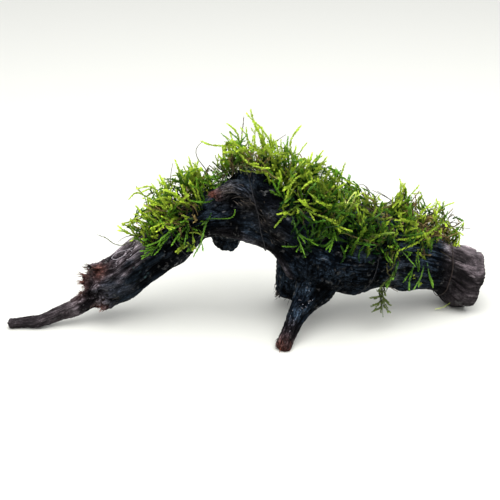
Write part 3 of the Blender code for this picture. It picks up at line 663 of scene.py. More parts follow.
# Fronds that the photograph shows one by one: shade, leaf length, how far behind the middle the
# tip and the root lie, and the pixels from tip to root
FRONDS = {
    "moss_left": [
        ("bright", 1.5, 0, 2, [(118.5, 226), (124, 231), (131, 235), (146, 234)]),
        ("bright", 1.3, 6, 4, [(129.5, 198.5), (133, 194), (138, 192), (152, 200)]),
        ("bright", 1.4, 2, 2, [(136.5, 189), (143, 187), (150, 186), (157, 190), (161, 200)]),
        ("stem", 0.5, 8, 4, [(136, 186), (145.5, 197), (148, 212)]),
        ("bright", 1.5, -3, 0, [(137, 207), (141, 213), (146, 219), (158, 224)]),
        ("bright", 1.4, -4, -1, [(132, 220.5), (142, 222), (156, 226)]),
        ("bright", 1.5, 3, 4, [(175.5, 161), (180, 172), (185, 180), (188, 198)]),
        ("bright", 1.3, 6, 5, [(189, 158), (191, 165), (193, 174), (194, 190)]),
        ("bright", 1.3, 12, 8, [(198, 160), (197, 168), (196, 182)]),
        ("stem", 0, 9, 6, [(173, 163), (171, 172), (170, 186)]),
        ("mid", 1.2, -9, -5, [(141, 251), (148, 250.5), (157, 248), (168, 240)]),
        ("mid", 1.1, -8, -5, [(143, 258), (147, 256.5), (151, 252), (160, 244)]),
        ("mid", 1.3, -9, -5, [(147, 246), (155, 243), (166, 238), (176, 230)]),
        ("mid", 1.3, -9, -7, [(194, 255.5), (197, 250), (200, 245), (203, 235), (205, 225),
            (212, 213)]),
        ("mid", 1, -8, -5, [(184, 248), (184.5, 243), (186, 236), (188, 226)]),
        ("grey", 0.8, -2, 1, [(98, 235), (107, 238), (113, 244), (122, 246), (134, 240)]),
        ("rhizoid", 0, 1, 2, [(118, 242), (122, 238), (130, 235), (140, 236)]),
        ("mid", 0.9, -12, -8, [(235, 210), (234.5, 215), (232, 218), (224, 219), (214, 218.5),
            (205, 219)]),
        ("bright", 1.4, 6, 4, [(160, 176), (163, 183), (167, 192), (172, 204)]),
        ("bright", 1.5, -6, -3, [(150, 200), (160, 205), (170, 212), (180, 220)]),
        ("bright", 1.5, -10, -5, [(152, 228), (160, 224), (170, 222), (182, 222)]),
        ("mid", 1.4, -10, -5, [(160, 240), (168, 233), (176, 228), (186, 222)]),
        ("bright", 1.5, -5, -1, [(165, 190), (174, 193), (182, 200), (190, 210)]),
        ("bright", 1.5, -6, -1, [(182, 186), (186, 196), (192, 204), (200, 212)]),
        ("mid", 1.4, -4, 0, [(196, 178), (198, 188), (203, 197), (208, 208)]),
        ("mid", 1.3, -9, -5, [(172, 245), (176, 238), (182, 231), (190, 224)]),
        ("bright", 1.4, -4, -1, [(145, 206), (152, 210), (162, 212), (172, 214)]),
        ("bright", 1.3, 5, 4, [(152, 184), (156, 190), (160, 197), (165, 205)]),
        ("bright", 1.4, 4, 3, [(163, 180), (166, 187), (169, 195), (172, 204)]),
        ("mid", 1.3, 6, 4, [(179, 171), (181, 180), (183, 189), (186, 198)]),
    ],
    "moss_crown": [
        ("bright", 1.6, 8, 8, [(251, 111.5), (252, 116), (253, 120), (257, 130), (261, 138),
            (264, 148)]),
        ("bright", 1.5, 6, 7, [(258, 129), (262, 137), (266, 147), (271, 158)]),
        ("bright", 1.5, 3, 6, [(255, 122), (264, 131), (270, 141), (272, 152)]),
        ("stem", 0.8, 13, 10, [(243.7, 117.5), (243, 126), (241.5, 137), (241, 148)]),
        ("bright", 1.4, 8, 8, [(227.5, 124), (232, 127), (236, 131), (239, 137), (240, 148)]),
        ("mid", 1.2, 4, 7, [(230, 132), (233, 135), (238, 139), (243, 150)]),
        ("bright", 1.5, 6, 7, [(201.5, 141.5), (207, 144), (213, 145.5), (225, 146), (234, 148),
            (244, 152)]),
        ("rhizoid", 0, 6, 8, [(202, 142), (197, 146), (195.5, 150), (196, 156), (200, 162),
            (206, 169)]),
        ("stem", 0.8, 0, 4, [(218.5, 160), (223, 160.5), (230, 158)]),
        ("olive", 1.2, 6, 8, [(208, 168), (214, 172), (221, 176), (228, 178)]),
        ("mid", 1.2, 4, 8, [(206, 176), (212, 179), (219, 181), (226, 182)]),
        ("stem", 0.9, 5, 8, [(210, 166), (215, 170), (220, 175), (224, 181)]),
        ("olive", 1.2, 7, 8, [(214, 163), (219, 168), (225, 172), (231, 174)]),
        ("mid", 1.2, 2, 6, [(204, 182), (210, 184), (217, 186), (224, 186)]),
        ("stem", 0.9, 5, 7, [(222, 165), (225, 170), (228, 176)]),
        ("mid", 1.3, 6, 8, [(203, 170), (207, 176), (212, 182), (218, 186)]),
        ("mid", 1.2, 6, 7, [(226, 160), (228, 167), (230, 174)]),
        ("bright", 1.5, -6, -1, [(268, 168), (262, 168.5), (255, 166), (248, 163), (243, 158),
            (238, 153), (236, 147)]),
        ("bright", 1.4, 10, 6, [(300, 127), (296, 131), (293, 135), (291, 140), (290, 146),
            (292, 156), (295, 172)]),
        ("stem", 0, 15, 12, [(286, 134.5), (279, 139), (272, 144), (266, 152)]),
        ("bright", 1.5, -2, 3, [(225, 152), (232, 152), (240, 154), (250, 158)]),
        ("bright", 1.3, 10, 9, [(262, 128), (263, 136), (265, 146), (268, 156)]),
        ("bright", 1.2, 8, 7, [(281, 141), (281, 148), (283, 156), (284, 166)]),
        ("bright", 1.4, 2, 5, [(270, 136), (272, 144), (275, 152), (277, 164)]),
        ("bright", 1.3, 4, 6, [(246, 128), (247, 136), (249, 146), (252, 156)]),
        ("bright", 1.5, -3, 3, [(232, 140), (238, 146), (246, 152), (254, 160)]),
        ("bright", 1.4, -2, 4, [(254, 136), (255, 144), (258, 152), (262, 160)]),
        ("mid", 1.1, 12, 9, [(222, 134), (227, 139), (233, 145), (239, 154)]),
        ("mid", 1.2, 0, 4, [(247, 135), (242, 140), (238, 148), (237, 156)]),
        ("grey", 0.6, -7, -3, [(241, 173), (239, 168), (237, 162)]),
        ("grey", 0.6, -8, -4, [(247, 174), (247, 169), (244, 163)]),
        ("grey", 0.7, -8, -5, [(256, 173), (252, 169), (247, 165)]),
        ("stem", 0.6, -8, -6, [(264, 171), (258, 170), (252, 167)]),
        ("stem", 0.6, -6, -2, [(232, 176), (233, 170), (234, 163)]),
        ("grey", 0.7, -5, -3, [(236, 168), (242, 164), (250, 162)]),
        ("stem", 0.7, -4, 0, [(222, 178), (227, 172), (233, 167)]),
        ("mid", 1, -4, 0, [(214, 182), (219, 176), (226, 172)]),
        ("stem", 0.7, -3, 0, [(216, 172), (221, 174), (228, 176)]),
        ("mid", 0.9, -5, -1, [(211, 176), (216, 180), (224, 182)]),
        ("dead", 0.7, -8, -5, [(276, 178), (270, 174), (264, 169)]),
        ("mid", 1.2, 4, 6, [(211, 178), (217, 176), (224, 178)]),
        ("olive", 1.1, 3, 6, [(212, 184), (219, 181), (227, 183)]),
        ("mid", 1.2, 2, 6, [(216, 188), (222, 182), (230, 178)]),
        ("olive", 1.1, 2, 6, [(220, 186), (223, 178), (228, 170)]),
        ("mid", 1.2, 5, 6, [(213, 173), (217, 180), (221, 187)]),
        ("mid", 1.1, 2, 5, [(225, 184), (226, 176), (229, 168)]),
        ("stem", 1, 4, 6, [(218, 170), (224, 176), (231, 181)]),
        ("mid", 1.2, 5, 7, [(209, 181), (216, 179), (225, 174)]),
        ("olive", 1.2, 6, 7, [(219, 165), (223, 170), (229, 176)]),
        ("bright", 1.3, 6, 5, [(276, 142), (277, 150), (279, 158), (281, 168)]),
        ("mid", 1.3, 5, 4, [(288, 138), (287, 146), (288, 155), (290, 166)]),
    ],
    "moss_right": [
        ("bright", 1.2, 8, 6, [(306, 144), (301, 150), (297, 158), (294, 170)]),
        ("bright", 1.4, 12, 8, [(322, 152), (318, 157), (313, 162), (305, 172)]),
        ("bright", 1.4, 3, 4, [(326, 158), (322, 163), (318, 168), (309, 178)]),
        ("bright", 1.5, 10, 8, [(345, 163.5), (342, 172), (338, 182), (334, 194)]),
        ("pale", 1.1, -16, -8, [(348, 202), (351, 196), (357, 191), (352, 205), (344, 216)]),
        ("bright", 1.6, -15, -9, [(318, 202), (327, 205), (337, 211), (346, 221)]),
        ("bright", 1.5, -19, -11, [(351, 231), (345, 229), (338, 226), (325, 217), (314, 214),
            (304, 208)]),
        ("mid", 1.1, -17, -11, [(305, 256), (302, 248), (298, 238), (295, 226), (292, 214)]),
        ("mid", 1.1, -18, -11, [(317, 245), (311, 242), (300, 235), (293, 224)]),
        ("mid", 1, -14, -11, [(283, 246.5), (290, 247), (298, 246.5), (306, 240)]),
        ("bright", 1.3, 18, 14, [(400, 180), (402, 185), (401, 190), (398, 198), (393, 210)]),
        ("bright", 1.1, 25, 20, [(404.5, 185), (406, 189), (407, 194), (405, 204)]),
        ("bright", 1.4, 22, 17, [(418.5, 186), (413, 192), (408, 198), (402, 206), (395, 214)]),
        ("bright", 1.2, 26, 20, [(440, 202.5), (439, 208), (436, 216), (430, 224)]),
        ("bright", 1.2, 28, 21, [(452.5, 203), (446, 205), (440, 209), (434, 215), (427, 222)]),
        ("mid", 1.2, 14, 14, [(445.5, 222), (438, 225), (430, 230), (420, 234)]),
        ("mid", 1.1, 27, 22, [(460, 226), (456, 229), (452, 233), (444, 238)]),
        ("rhizoid", 0, 14, 12, [(355, 187), (362, 183), (368, 188), (371, 192), (366, 200)]),
        ("rhizoid", 0, 16, 14, [(372, 190), (380, 194), (390, 199), (398, 206)]),
        ("stem", 0, 12, 10, [(395, 202), (387, 205), (378, 209), (370, 214)]),
        ("stem", 0, 15, 13, [(365, 186), (369, 192), (372, 199), (375, 205)]),
        ("rhizoid", 0, 17, 14, [(377, 191), (384, 195), (391, 200), (396, 205)]),
        ("stem", 0, 14, 13, [(399, 193), (394, 198), (388, 203), (381, 207)]),
        ("stem", 0, 12, 12, [(356, 193), (362, 196), (368, 201), (374, 207)]),
        ("dead", 0.9, 14, 16, [(418, 222), (426, 226), (434, 228), (442, 226)]),
        ("dead", 0.9, 8, 12, [(412, 232), (421, 229), (431, 231), (440, 236)]),
        ("dead", 0.9, 8, 14, [(424, 240), (432, 236), (441, 235), (450, 238)]),
        ("dead", 0.9, 18, 16, [(430, 220), (437, 225), (443, 232), (447, 240)]),
        ("dead", 0.9, 14, 14, [(446, 228), (440, 232), (433, 240)]),
        ("dead", 0.9, 10, 12, [(404, 226), (412, 224), (420, 226), (427, 231)]),
        ("dead", 0.9, 18, 16, [(457, 233), (450, 236), (443, 240)]),
        ("olive", 1.2, -9, -7, [(341, 268), (345, 267), (350, 266)]),
        ("olive", 1.2, -9, -7, [(343, 264), (347, 264), (352, 267)]),
        ("pale", 0.8, 14, 14, [(436, 309), (441, 308), (446, 306), (450, 303)]),
        ("mid", 0.8, 22, 18, [(422, 206), (423, 212), (424, 222)]),
        ("bright", 1.4, -1, 10, [(396, 240), (410, 238.5), (425, 235), (437, 227), (444, 221)]),
        ("bright", 1.4, -3, 8, [(400, 250), (408, 247), (415, 244), (426, 236), (438, 226)]),
        ("mid", 0.8, -4, -4, [(415, 266), (408, 258), (402, 251), (396, 244)]),
        ("mid", 1.2, 1, 3, [(433, 287), (431, 281), (429, 275), (427, 262)]),
        ("mid", 1.2, -4, -2, [(409, 289), (409, 282), (411, 275), (415, 262)]),
        ("mid", 1.1, -3, -1, [(414, 289), (417, 284), (420, 280), (424, 266)]),
        ("bright", 1.7, -4, 2, [(388, 222), (381, 230), (379, 242), (381, 254)]),
        ("mid", 1.5, -3, 2, [(372, 214), (374, 224), (378, 234), (384, 244)]),
        ("bright", 1.5, -7, -1, [(360, 226), (366, 232), (372, 240), (378, 248)]),
        ("mid", 1.3, -14, -8, [(345, 252), (349, 244), (352, 236), (352, 226)]),
        ("mid", 1.4, -17, -9, [(330, 250), (333, 240), (334, 230), (332, 220)]),
        ("bright", 1.6, -13, -8, [(300, 200), (306, 206), (314, 210), (324, 212)]),
        ("bright", 1.6, -8, -4, [(287, 196), (290, 186), (296, 178), (304, 174)]),
        ("mid", 1.4, -9, -6, [(273, 182), (277, 190), (283, 198), (288, 206)]),
        ("bright", 1.4, -12, -8, [(279, 214), (286, 212), (292, 216), (296, 208), (298, 204)]),
        ("bright", 1.6, -6, -3, [(303, 188), (309, 182), (316, 180), (320, 184)]),
        ("mid", 1.3, -8, -3, [(392, 262), (386, 254), (380, 248), (374, 240)]),
        ("bright", 1.4, 6, 5, [(405, 232), (398, 228), (390, 226), (382, 226)]),
        ("bright", 1.4, 20, 15, [(430, 204), (424, 210), (418, 218), (410, 226)]),
        ("dead", 1, 18, 15, [(452, 246), (444, 244), (436, 240), (428, 234)]),
        ("mid", 1.2, 4, 9, [(418, 252), (424, 246), (431, 241), (438, 236)]),
        ("bright", 1.5, 0, 1, [(344, 184), (336, 190), (328, 196), (320, 202)]),
        ("bright", 1.5, -6, -4, [(356, 206), (350, 212), (343, 216), (336, 218)]),
        ("bright", 1.3, 12, 8, [(296, 146), (295, 153), (294, 160), (294, 170)]),
        ("bright", 1.4, 5, 2, [(312, 154), (310, 161), (307, 168), (303, 178)]),
        ("mid", 1.3, 10, 6, [(317, 156), (316, 164), (313, 172), (309, 182)]),
        ("bright", 1.4, 8, 5, [(331, 167), (328, 174), (325, 181), (321, 190)]),
        ("mid", 1.4, 4, 2, [(337, 171), (334, 179), (331, 186), (327, 195)]),
        ("mid", 1.3, 9, 6, [(350, 177), (348, 184), (345, 191), (341, 200)]),
        ("olive", 0.7, -9, -9, [(383, 317), (382.5, 310), (382, 302), (384, 294), (389, 286),
            (395, 272)]),
        ("olive", 1.5, -9, -9, [(371, 298), (376, 297), (383, 296)]),
        ("olive", 1.5, -10, -9, [(372, 306), (376, 304), (382, 302)]),
        ("olive", 1.4, -9, -9, [(373, 311.5), (377, 309), (382.5, 307)]),
        ("olive", 1.5, -8, -9, [(388.5, 304), (386, 301), (383, 299)]),
        ("olive", 1.4, -9, -9, [(389.5, 311.5), (386, 308), (383, 305)]),
        ("olive", 1.4, -9, -9, [(378, 291), (381, 293), (385, 292)]),
        ("stem", 0.6, -9, -9, [(397.5, 291.5), (393, 289), (389, 287)]),
        ("mid", 1.5, -9, -7, [(387, 287), (391, 279), (395, 270), (399, 262)]),
        ("olive", 1.1, -9, -9, [(378, 291), (384, 284), (391, 277)]),
    ],
}
# Each kind's colour at the foot of its stem and at the tip. The foot is darker as older stem and
# as painted shade inside the mat, and the deep kind is painted shade deep in the mat
SHADES = {
    "bright": ("#2a560c", "#c4d84c"),
    "mid": ("#0e3a0e", "#74a42e"),
    "olive": ("#1c240e", "#5c6c30"),
    "pale": ("#8a9c40", "#dfe690"),
    "deep": ("#06200a", "#245c18"),
    "dead": ("#4a3c22", "#b8a26a"),
    "stem": ("#2a2216", "#564a2c"),
    "grey": ("#3c4028", "#6c7448"),
    "rhizoid": ("#2c281e", "#4e483a"),
}
SHADES = {name: np.array([linear(code) for code in pair]) for name, pair in SHADES.items()}


# A frond's colours are scaled by painted light: lighter where it catches the light, darker in shade
def strand(bundle, path, leaf, shade, draw, side=None, painted_light=1.0):
    """One leafy stem along a path in millimetres; returns its line and the way it lies flat."""
    line = smooth_line(path, LEAF_STEP)
    ahead, across, over = headings(line)
    if side is None:
        turn = draw.uniform(0, 2 * math.pi)
        across, over = (across * math.cos(turn) + over * math.sin(turn),
                        over * math.cos(turn) - across * math.sin(turn))
    else:
        across = np.array([side - way * (side @ way) for way in ahead])
        across /= np.linalg.norm(across, axis=1)[:, None]
        over = np.cross(ahead, across)
    share = np.linspace(0, 1, len(line))
    # Darker at the foot, as older stem and as painted shade in the mat, then scaled by painted light
    shades = mix(shade[0], shade[1], (0.9 * share ** 0.8)[:, None]) * painted_light

    posts = np.linspace(0, len(line) - 1, max(3, round(len(line) * LEAF_STEP / STEM_STEP) + 1))
    posts = posts.astype(int)
    thick = STEM_RADIUS * (1.15 - 0.7 * share[posts]) * (1 if leaf > BARE_UNDER else BARE_STEM)
    corners, quads = tube_rings(line[posts], thick, 3)
    bundle.add(corners, quads, np.repeat(shades[posts], 3, axis=0) * 0.8)
    if leaf == 0:
        return line, across

    count = len(line)
    hand = np.where(np.arange(count) % 2 == 0, 1.0, -1.0)[:, None]
    roll = draw.normal(0, LEAF_ROLL, count)[:, None]
    out = across * hand * np.cos(roll) + over * np.sin(roll)
    angle = np.radians(draw.normal(*LEAF_ANGLE, count) - 12 * share ** 4)[:, None]
    way = ahead * np.cos(angle) + out * np.sin(angle)
    size = leaf * (0.8 + 0.35 * share - 0.35 * share ** 6) * draw.uniform(0.8, 1.2, count)
    size = size[:, None]
    flat = np.cross(out, ahead)
    middle = line + way * size * 0.42 + np.cross(flat, way) * size * 0.1
    corners = np.stack([line, middle + flat * size * LEAF_WIDTH, line + way * size,
                        middle - flat * size * LEAF_WIDTH], axis=1).reshape(-1, 3)
    first = np.arange(count)[:, None] * 4
    faces = np.concatenate([first + (0, 1, 2), first + (0, 2, 3)])
    light = draw.uniform(0.82, 1.2, count)[:, None]
    tints = np.stack([shades * light * f for f in (0.75, 0.95, 1.12, 0.95)], axis=1)
    bundle.add(corners, faces, tints.reshape(-1, 3))
    return line, across


def frond(bundle, path, leaf, shade, draw, branches, painted_light=1.0):
    """A main stem with side branches in its plane, in turn on either hand."""
    line, across = strand(bundle, path, leaf, shade, draw, painted_light=painted_light)
    length = (len(line) - 1) * LEAF_STEP
    hand = 1 if draw.random() < 0.5 else -1
    for number in range(branches):
        share = (number + draw.uniform(0.6, 1.2)) / (branches + 0.8)
        spot = int(min(share, 0.9) * (len(line) - 1))
        ahead = line[min(spot + 1, len(line) - 1)] - line[max(spot - 1, 0)]
        ahead = ahead / np.linalg.norm(ahead)
        hand = -hand
        reach = min(0.4 * length, 6.5) * (1.15 - 0.65 * share) * draw.uniform(0.5, 1.15)
        way = ahead * 0.95 + across[spot] * hand * draw.uniform(0.5, 0.85) + draw.normal(0, 0.2, 3)
        way = way / np.linalg.norm(way)
        knee = line[spot] + way * reach * 0.5
        tip = knee + (way + ahead * 0.5 + draw.normal(0, 0.15, 3)) * reach * 0.42
        inner = mix(shade[0], shade[1], 0.25 + 0.5 * share)
        strand(bundle, [line[spot], knee, tip], leaf * 0.85, np.array([inner, shade[1]]), draw,
               side=across[spot], painted_light=painted_light)


# Where only single fronds reach out of the mat, as middle and reach in millimetres
BARE_SPOTS = [((70, -13, 30), 8), ((68, -15, 18), 8), ((67, -14.5, 8), 8), ((-20, 3, 94), 9)]
# Where the mat is low and its solid reaches on to the tips of lone fronds: a middle, its reach and
# the mat's height over the bark
THIN_SPOTS = [
    ((60, 10, 59), 17, 4), ((62, 24, 52), 16, 4), ((84, 20, 52), 14, 4), ((98, 22, 46), 14, 3.5),
    ((-22, 3, 92), 8, 7), ((0, 6, 104), 10, 9), ((-60, 5, 56), 9, 4), ((-54, 0, 64), 7, 6),
]
CLEAR_OF_BARK = 1.6       # how far over the bark a mat's outer face lies at least


def keep_in(path, shape, slack, room):
    """Pull a path's points back to a clump's shape and slack, and lower where the mat is thin."""
    kept = []
    rooms = np.full(len(path), float(room))
    for middle, reach, low in THIN_SPOTS:
        rooms = mix(rooms, np.minimum(rooms, low), near(path, [(middle, reach)]))
    for point, most in zip(path, rooms):
        foot, _ = on_wood(point)
        far = np.linalg.norm(point - foot)
        point = mix(foot, point, min(1, most / max(far, 0.1)))
        spot, way, _, gone = shape.find_nearest(Vector(point) * MM)
        spot, way, gone = np.array(spot) / MM, np.array(way), gone / MM
        height = gone if (point - spot) @ way > 0 else -gone
        if height > slack:
            point = spot + way * slack if slack < 0 else mix(spot, point, slack / gone)
        kept.append(point)
    return smooth_line(np.array(kept), 2.0)


def clump_points(node, thickness, draw, count):
    """Random points on a moss node's outer faces, and the ways they face, in millimetres."""
    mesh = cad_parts[node].data
    mesh.calc_loop_triangles()
    corners = np.array([mesh.vertices[i].co for t in mesh.loop_triangles for i in t.vertices])
    corners = corners.reshape(-1, 3, 3) / MM
    normal = np.cross(corners[:, 1] - corners[:, 0], corners[:, 2] - corners[:, 0])
    area = np.linalg.norm(normal, axis=1)
    normal /= np.maximum(area, 1e-9)[:, None]
    middle = corners.mean(axis=1)
    clear = np.array([np.linalg.norm(on_wood(m)[0] - m) for m in middle])
    area = np.where((clear > CLEAR_OF_BARK) & (clear < thickness), area, 0)
    area = np.where(near(middle, BARE_SPOTS) > 0.35, 0, area)
    pick = draw.choice(len(area), count, p=area / area.sum())
    u, v = draw.random((2, count))
    swap = u + v > 1
    u, v = np.where(swap, 1 - u, u)[:, None], np.where(swap, 1 - v, v)[:, None]
    a, b, c = corners[pick, 0], corners[pick, 1], corners[pick, 2]
    return a + (b - a) * u + (c - a) * v, normal[pick]


# Each clump: its pieces, fronds that rise from the bark in each, fronds that lie on the mat, the
# mat's thickness, past which a solid's point belongs to one long frond, how high a frond of the
# mat may reach over the bark, and the way it leans
CLUMPS = {
    "moss_left": (1, 270, 130, 13, 15, (-0.35, -0.1, 0.75)),
    "moss_crown": (1, 170, 70, 13, 16, (-0.05, 0.0, 1.0)),
    "moss_right": (3, 250, 125, 15.5, 17, (0.25, -0.1, 0.75)),
}
MAT_DEPTH = 9             # how far below the solid's face the tips of the mat end
SHADED_BELOW = 0.62          # share of that depth past which a frond may be painted dark, as shade deep in the mat
DARK_UNDER = 7            # fronds so short are painted dark there as shade, in millimetres
MAT_LEAF = (1.2, 1.7)
MID_CHANCE = 0.35
DEAD_CHANCE = 0.05
DEAD_LEAF = 0.7           # how far a dead leaf shrinks
# Light on the mat, from fronds that end at its face to those that end deep in it
RISING_LIGHT = (1.45, 0.55)
LYING_LIGHT = (1.4, 0.65)
# The front of the right clump hangs in the shade of the fronds above it
DIM_SPOTS = [((30, -17, 60), 17), ((48, -16, 54), 17), ((64, -9, 46), 13), ((36, -20, 48), 12)]
DIMMING = np.array([0.78, 0.62, 0.7])      # share of the red, green and blue that it takes
DEAD_SPOTS = {
    "moss_left": [((-38, -14, 48), 8), ((-33, -10, 62), 5), ((-23, -12, 58), 6), ((-18, -2, 76), 5)],
    "moss_crown": [((-4, -10, 80), 9), ((4, -4, 84), 6)],
    "moss_right": [((88, 8, 48), 13), ((62, -2, 52), 9), ((100, 14, 44), 12)],
}

# Live java moss: thin wet leaves one cell thick, which glow yellow green with light from behind
LIGHT_THROUGH = 0.45      # share of the light that passes through a leaf
leafage, shader = new_material("wet java moss leaves")
leaf_colour = shade_tint(leafage, 5, (0.3, 0.7), (0.75, 1.25))
shader.inputs["Roughness"].default_value = 0.42
shader.inputs["Specular IOR Level"].default_value = 0.35
through = add_node(leafage, "ShaderNodeBsdfTranslucent", {"Color": leaf_colour})
both = add_node(leafage, "ShaderNodeMixShader",
                {0: LIGHT_THROUGH, 1: shader.outputs["BSDF"], 2: through.outputs["BSDF"]})
leafage.node_tree.links.new(both.outputs["Shader"],
                            leafage.node_tree.nodes["Material Output"].inputs["Surface"])

FRONT_LIFT = 1.5          # lays the fronds that were seen over the others, in millimetres
LONE_LEAF = 1.15          # their leaves are this much larger than those of the mat
LONE_LIGHT = 1.4          # and they are painted so much lighter, as fronds out in the light

# Long fronds that stand out at the back, which the photograph doesn't show: their tips
BACK_LEAF = 1.4
BACK_TIPS = {
    "moss_left": [(-44, 23, 69), (-34, 25, 75), (-52, 21, 58), (-40, 22, 50), (-29, 23, 59)],
    "moss_crown": [(-10, 26, 93), (3, 29, 95), (14, 28, 88), (-16, 23, 82), (6, 29, 79)],
    "moss_right": [(40, 26, 72), (55, 28, 53), (70, 33, 51), (84, 35, 50), (30, 25, 78),
                   (48, 31, 49), (76, 35, 39), (79, 20, 67), (98, 21, 57)],
}


def live_kind(dim, draw):
    """The kind of a live frond of the mat, where the light is so dim."""
    return "bright" if draw.random() > MID_CHANCE + 0.5 * dim else "mid"


def aged(kind, dead, draw):
    """A frond's kind and leaf length, where so many fronds are dead."""
    leaf = draw.uniform(*MAT_LEAF)
    if draw.random() < DEAD_CHANCE + 0.85 * dead:
        return draw.choice(["dead", "stem"], p=[0.7, 0.3]), leaf * DEAD_LEAF
    return kind, leaf


for order, (node, (pieces, rising, lying, thickness, room, lean)) in enumerate(CLUMPS.items()):
    shape = BVHTree.FromObject(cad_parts[node], bpy.context.evaluated_depsgraph_get())
    for part in range(pieces):
        draw = np.random.default_rng(100 * order + part)
        bundle = Bundle()
        # Fronds that the photograph shows, and those at the back
        if part == 0:
            for shade, leaf, tip_depth, root_depth, pixels in FRONDS[node]:
                depths = np.linspace(root_depth, tip_depth, len(pixels)) - FRONT_LIFT
                path = [seen_at(*pixel, far) for pixel, far in zip(reversed(pixels), depths)]
                branches = 0 if leaf < 1 else int(draw.integers(1, 4))
                root, _ = on_wood(path[0])
                start = mix(path[0], root, 0.6)
                frond(bundle, [start, *path], leaf * LONE_LEAF, SHADES[shade], draw, branches,
                      LONE_LIGHT)
            for tip in BACK_TIPS[node]:
                root, up = on_wood(np.array(tip) + draw.normal(0, 2, 3))
                span = np.linalg.norm(tip - root)
                knee = root + up * span * 0.5 + draw.normal(0, 0.15, 3) * span
                frond(bundle, bend([root, knee, tip], 7), BACK_LEAF, SHADES["bright"], draw, 4)

        # Fronds that rise from the bark
        places, ways = clump_points(node, thickness, draw, rising)
        for place, way in zip(places, ways):
            deep, dim = draw.uniform(0, 1), near(place[None], DIM_SPOTS)[0]
            tip = place + way * (0.5 - MAT_DEPTH * deep) + draw.normal(0, 1.2, 3)
            root, up = on_wood(tip - np.array(lean) * draw.uniform(2, 12) + draw.normal(0, 3, 3))
            span = np.linalg.norm(tip - root)
            knee = root + up * span * 0.45 + draw.normal(0, 0.2, 3) * span
            kind = live_kind(dim, draw)
            # Fronds deep in the mat, near the bark or in dim places take the deep kind: painted shade
            if deep > SHADED_BELOW and (span < DARK_UNDER or draw.random() < 0.5 + 0.5 * dim):
                kind = "deep"
            elif draw.random() < 0.4 * dim:
                kind = "deep"
            kind, leaf = aged(kind, near(root[None], DEAD_SPOTS[node])[0], draw)
            curl = tip + draw.normal(0, 0.16, 3) * span
            slack = draw.uniform(-1, 2) if kind in ("bright", "mid") else -3
            path = keep_in(bend([root, knee, curl, tip], 8), shape, slack, room)
            frond(bundle, path, leaf if kind != "stem" else 0, SHADES[kind], draw,
                  int(draw.integers(0, 4)), mix(*RISING_LIGHT, deep) * (1 - DIMMING * dim))

        # Fronds that lie on the mat
        places, ways = clump_points(node, thickness, draw, lying)
        for place, way in zip(places, ways):
            deep, dim = draw.uniform(0, 1), near(place[None], DIM_SPOTS)[0]
            start = place - way * (3 + 5 * deep)
            along = np.cross(way, draw.normal(0, 1, 3)) + np.array(lean) * 0.7
            along = along * (1 if along[2] > -0.3 else -1) / np.linalg.norm(along)
            span = draw.uniform(9, 18)
            knee = start + along * span * 0.5 + way * draw.uniform(1, 4) + draw.normal(0, 2, 3)
            tip = start + along * span + way * draw.uniform(-1, 3) + draw.normal(0, 2, 3)
            kind = live_kind(dim, draw)
            kind, leaf = aged(kind, near(start[None], DEAD_SPOTS[node])[0], draw)
            slack = draw.uniform(0, 2) if kind in ("bright", "mid") else -2.5
            path = keep_in(bend([start, knee, tip], 7), shape, slack, room)
            frond(bundle, path, leaf if kind != "stem" else 0, SHADES[kind], draw,
                  int(draw.integers(0, 3)), mix(*LYING_LIGHT, deep) * (1 - DIMMING * dim))

        name = node + "_fronds" + ("_" + "abc"[part] if pieces > 1 else "")
        piece = bundle.piece(name, leafage)
        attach(piece, "root")
        if part == 0:
            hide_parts(node)

# Threads
# Thin dark cotton sewing thread, two plies twisted together, wound round the wood to hold the
# moss down until it has grown on. Each loop is taut and bridges the hollows of the bark.
PLY_RADIUS = 0.14
PLY_OFFSET = 0.12
PLY_SIDES = 6
TWIST_PITCH = 2.2
RINGS_A_TURN = 6          # of each ply
RING_GAP = 0.03           # radians between two rings of the solid thread's points
PULL_IN = 0.35            # how far a loop sinks from its solid towards the bark
SMOOTHINGS = 4
THREADS = {"thread_left": "#1c1c21", "thread_trunk": "#1b1b20", "thread_mid": "#1b1b20",
           "thread_right": "#2e231e"}

# Twisted cotton thread: dyed dark and soaked, with a dull sheen and a faint fluff
cotton, shader = new_material("twisted cotton thread")
shade_tint(cotton, 0.5, (0.35, 0.65), (0.6, 1.4))
shader.inputs["Roughness"].default_value = 0.5
shader.inputs["Specular IOR Level"].default_value = 0.3

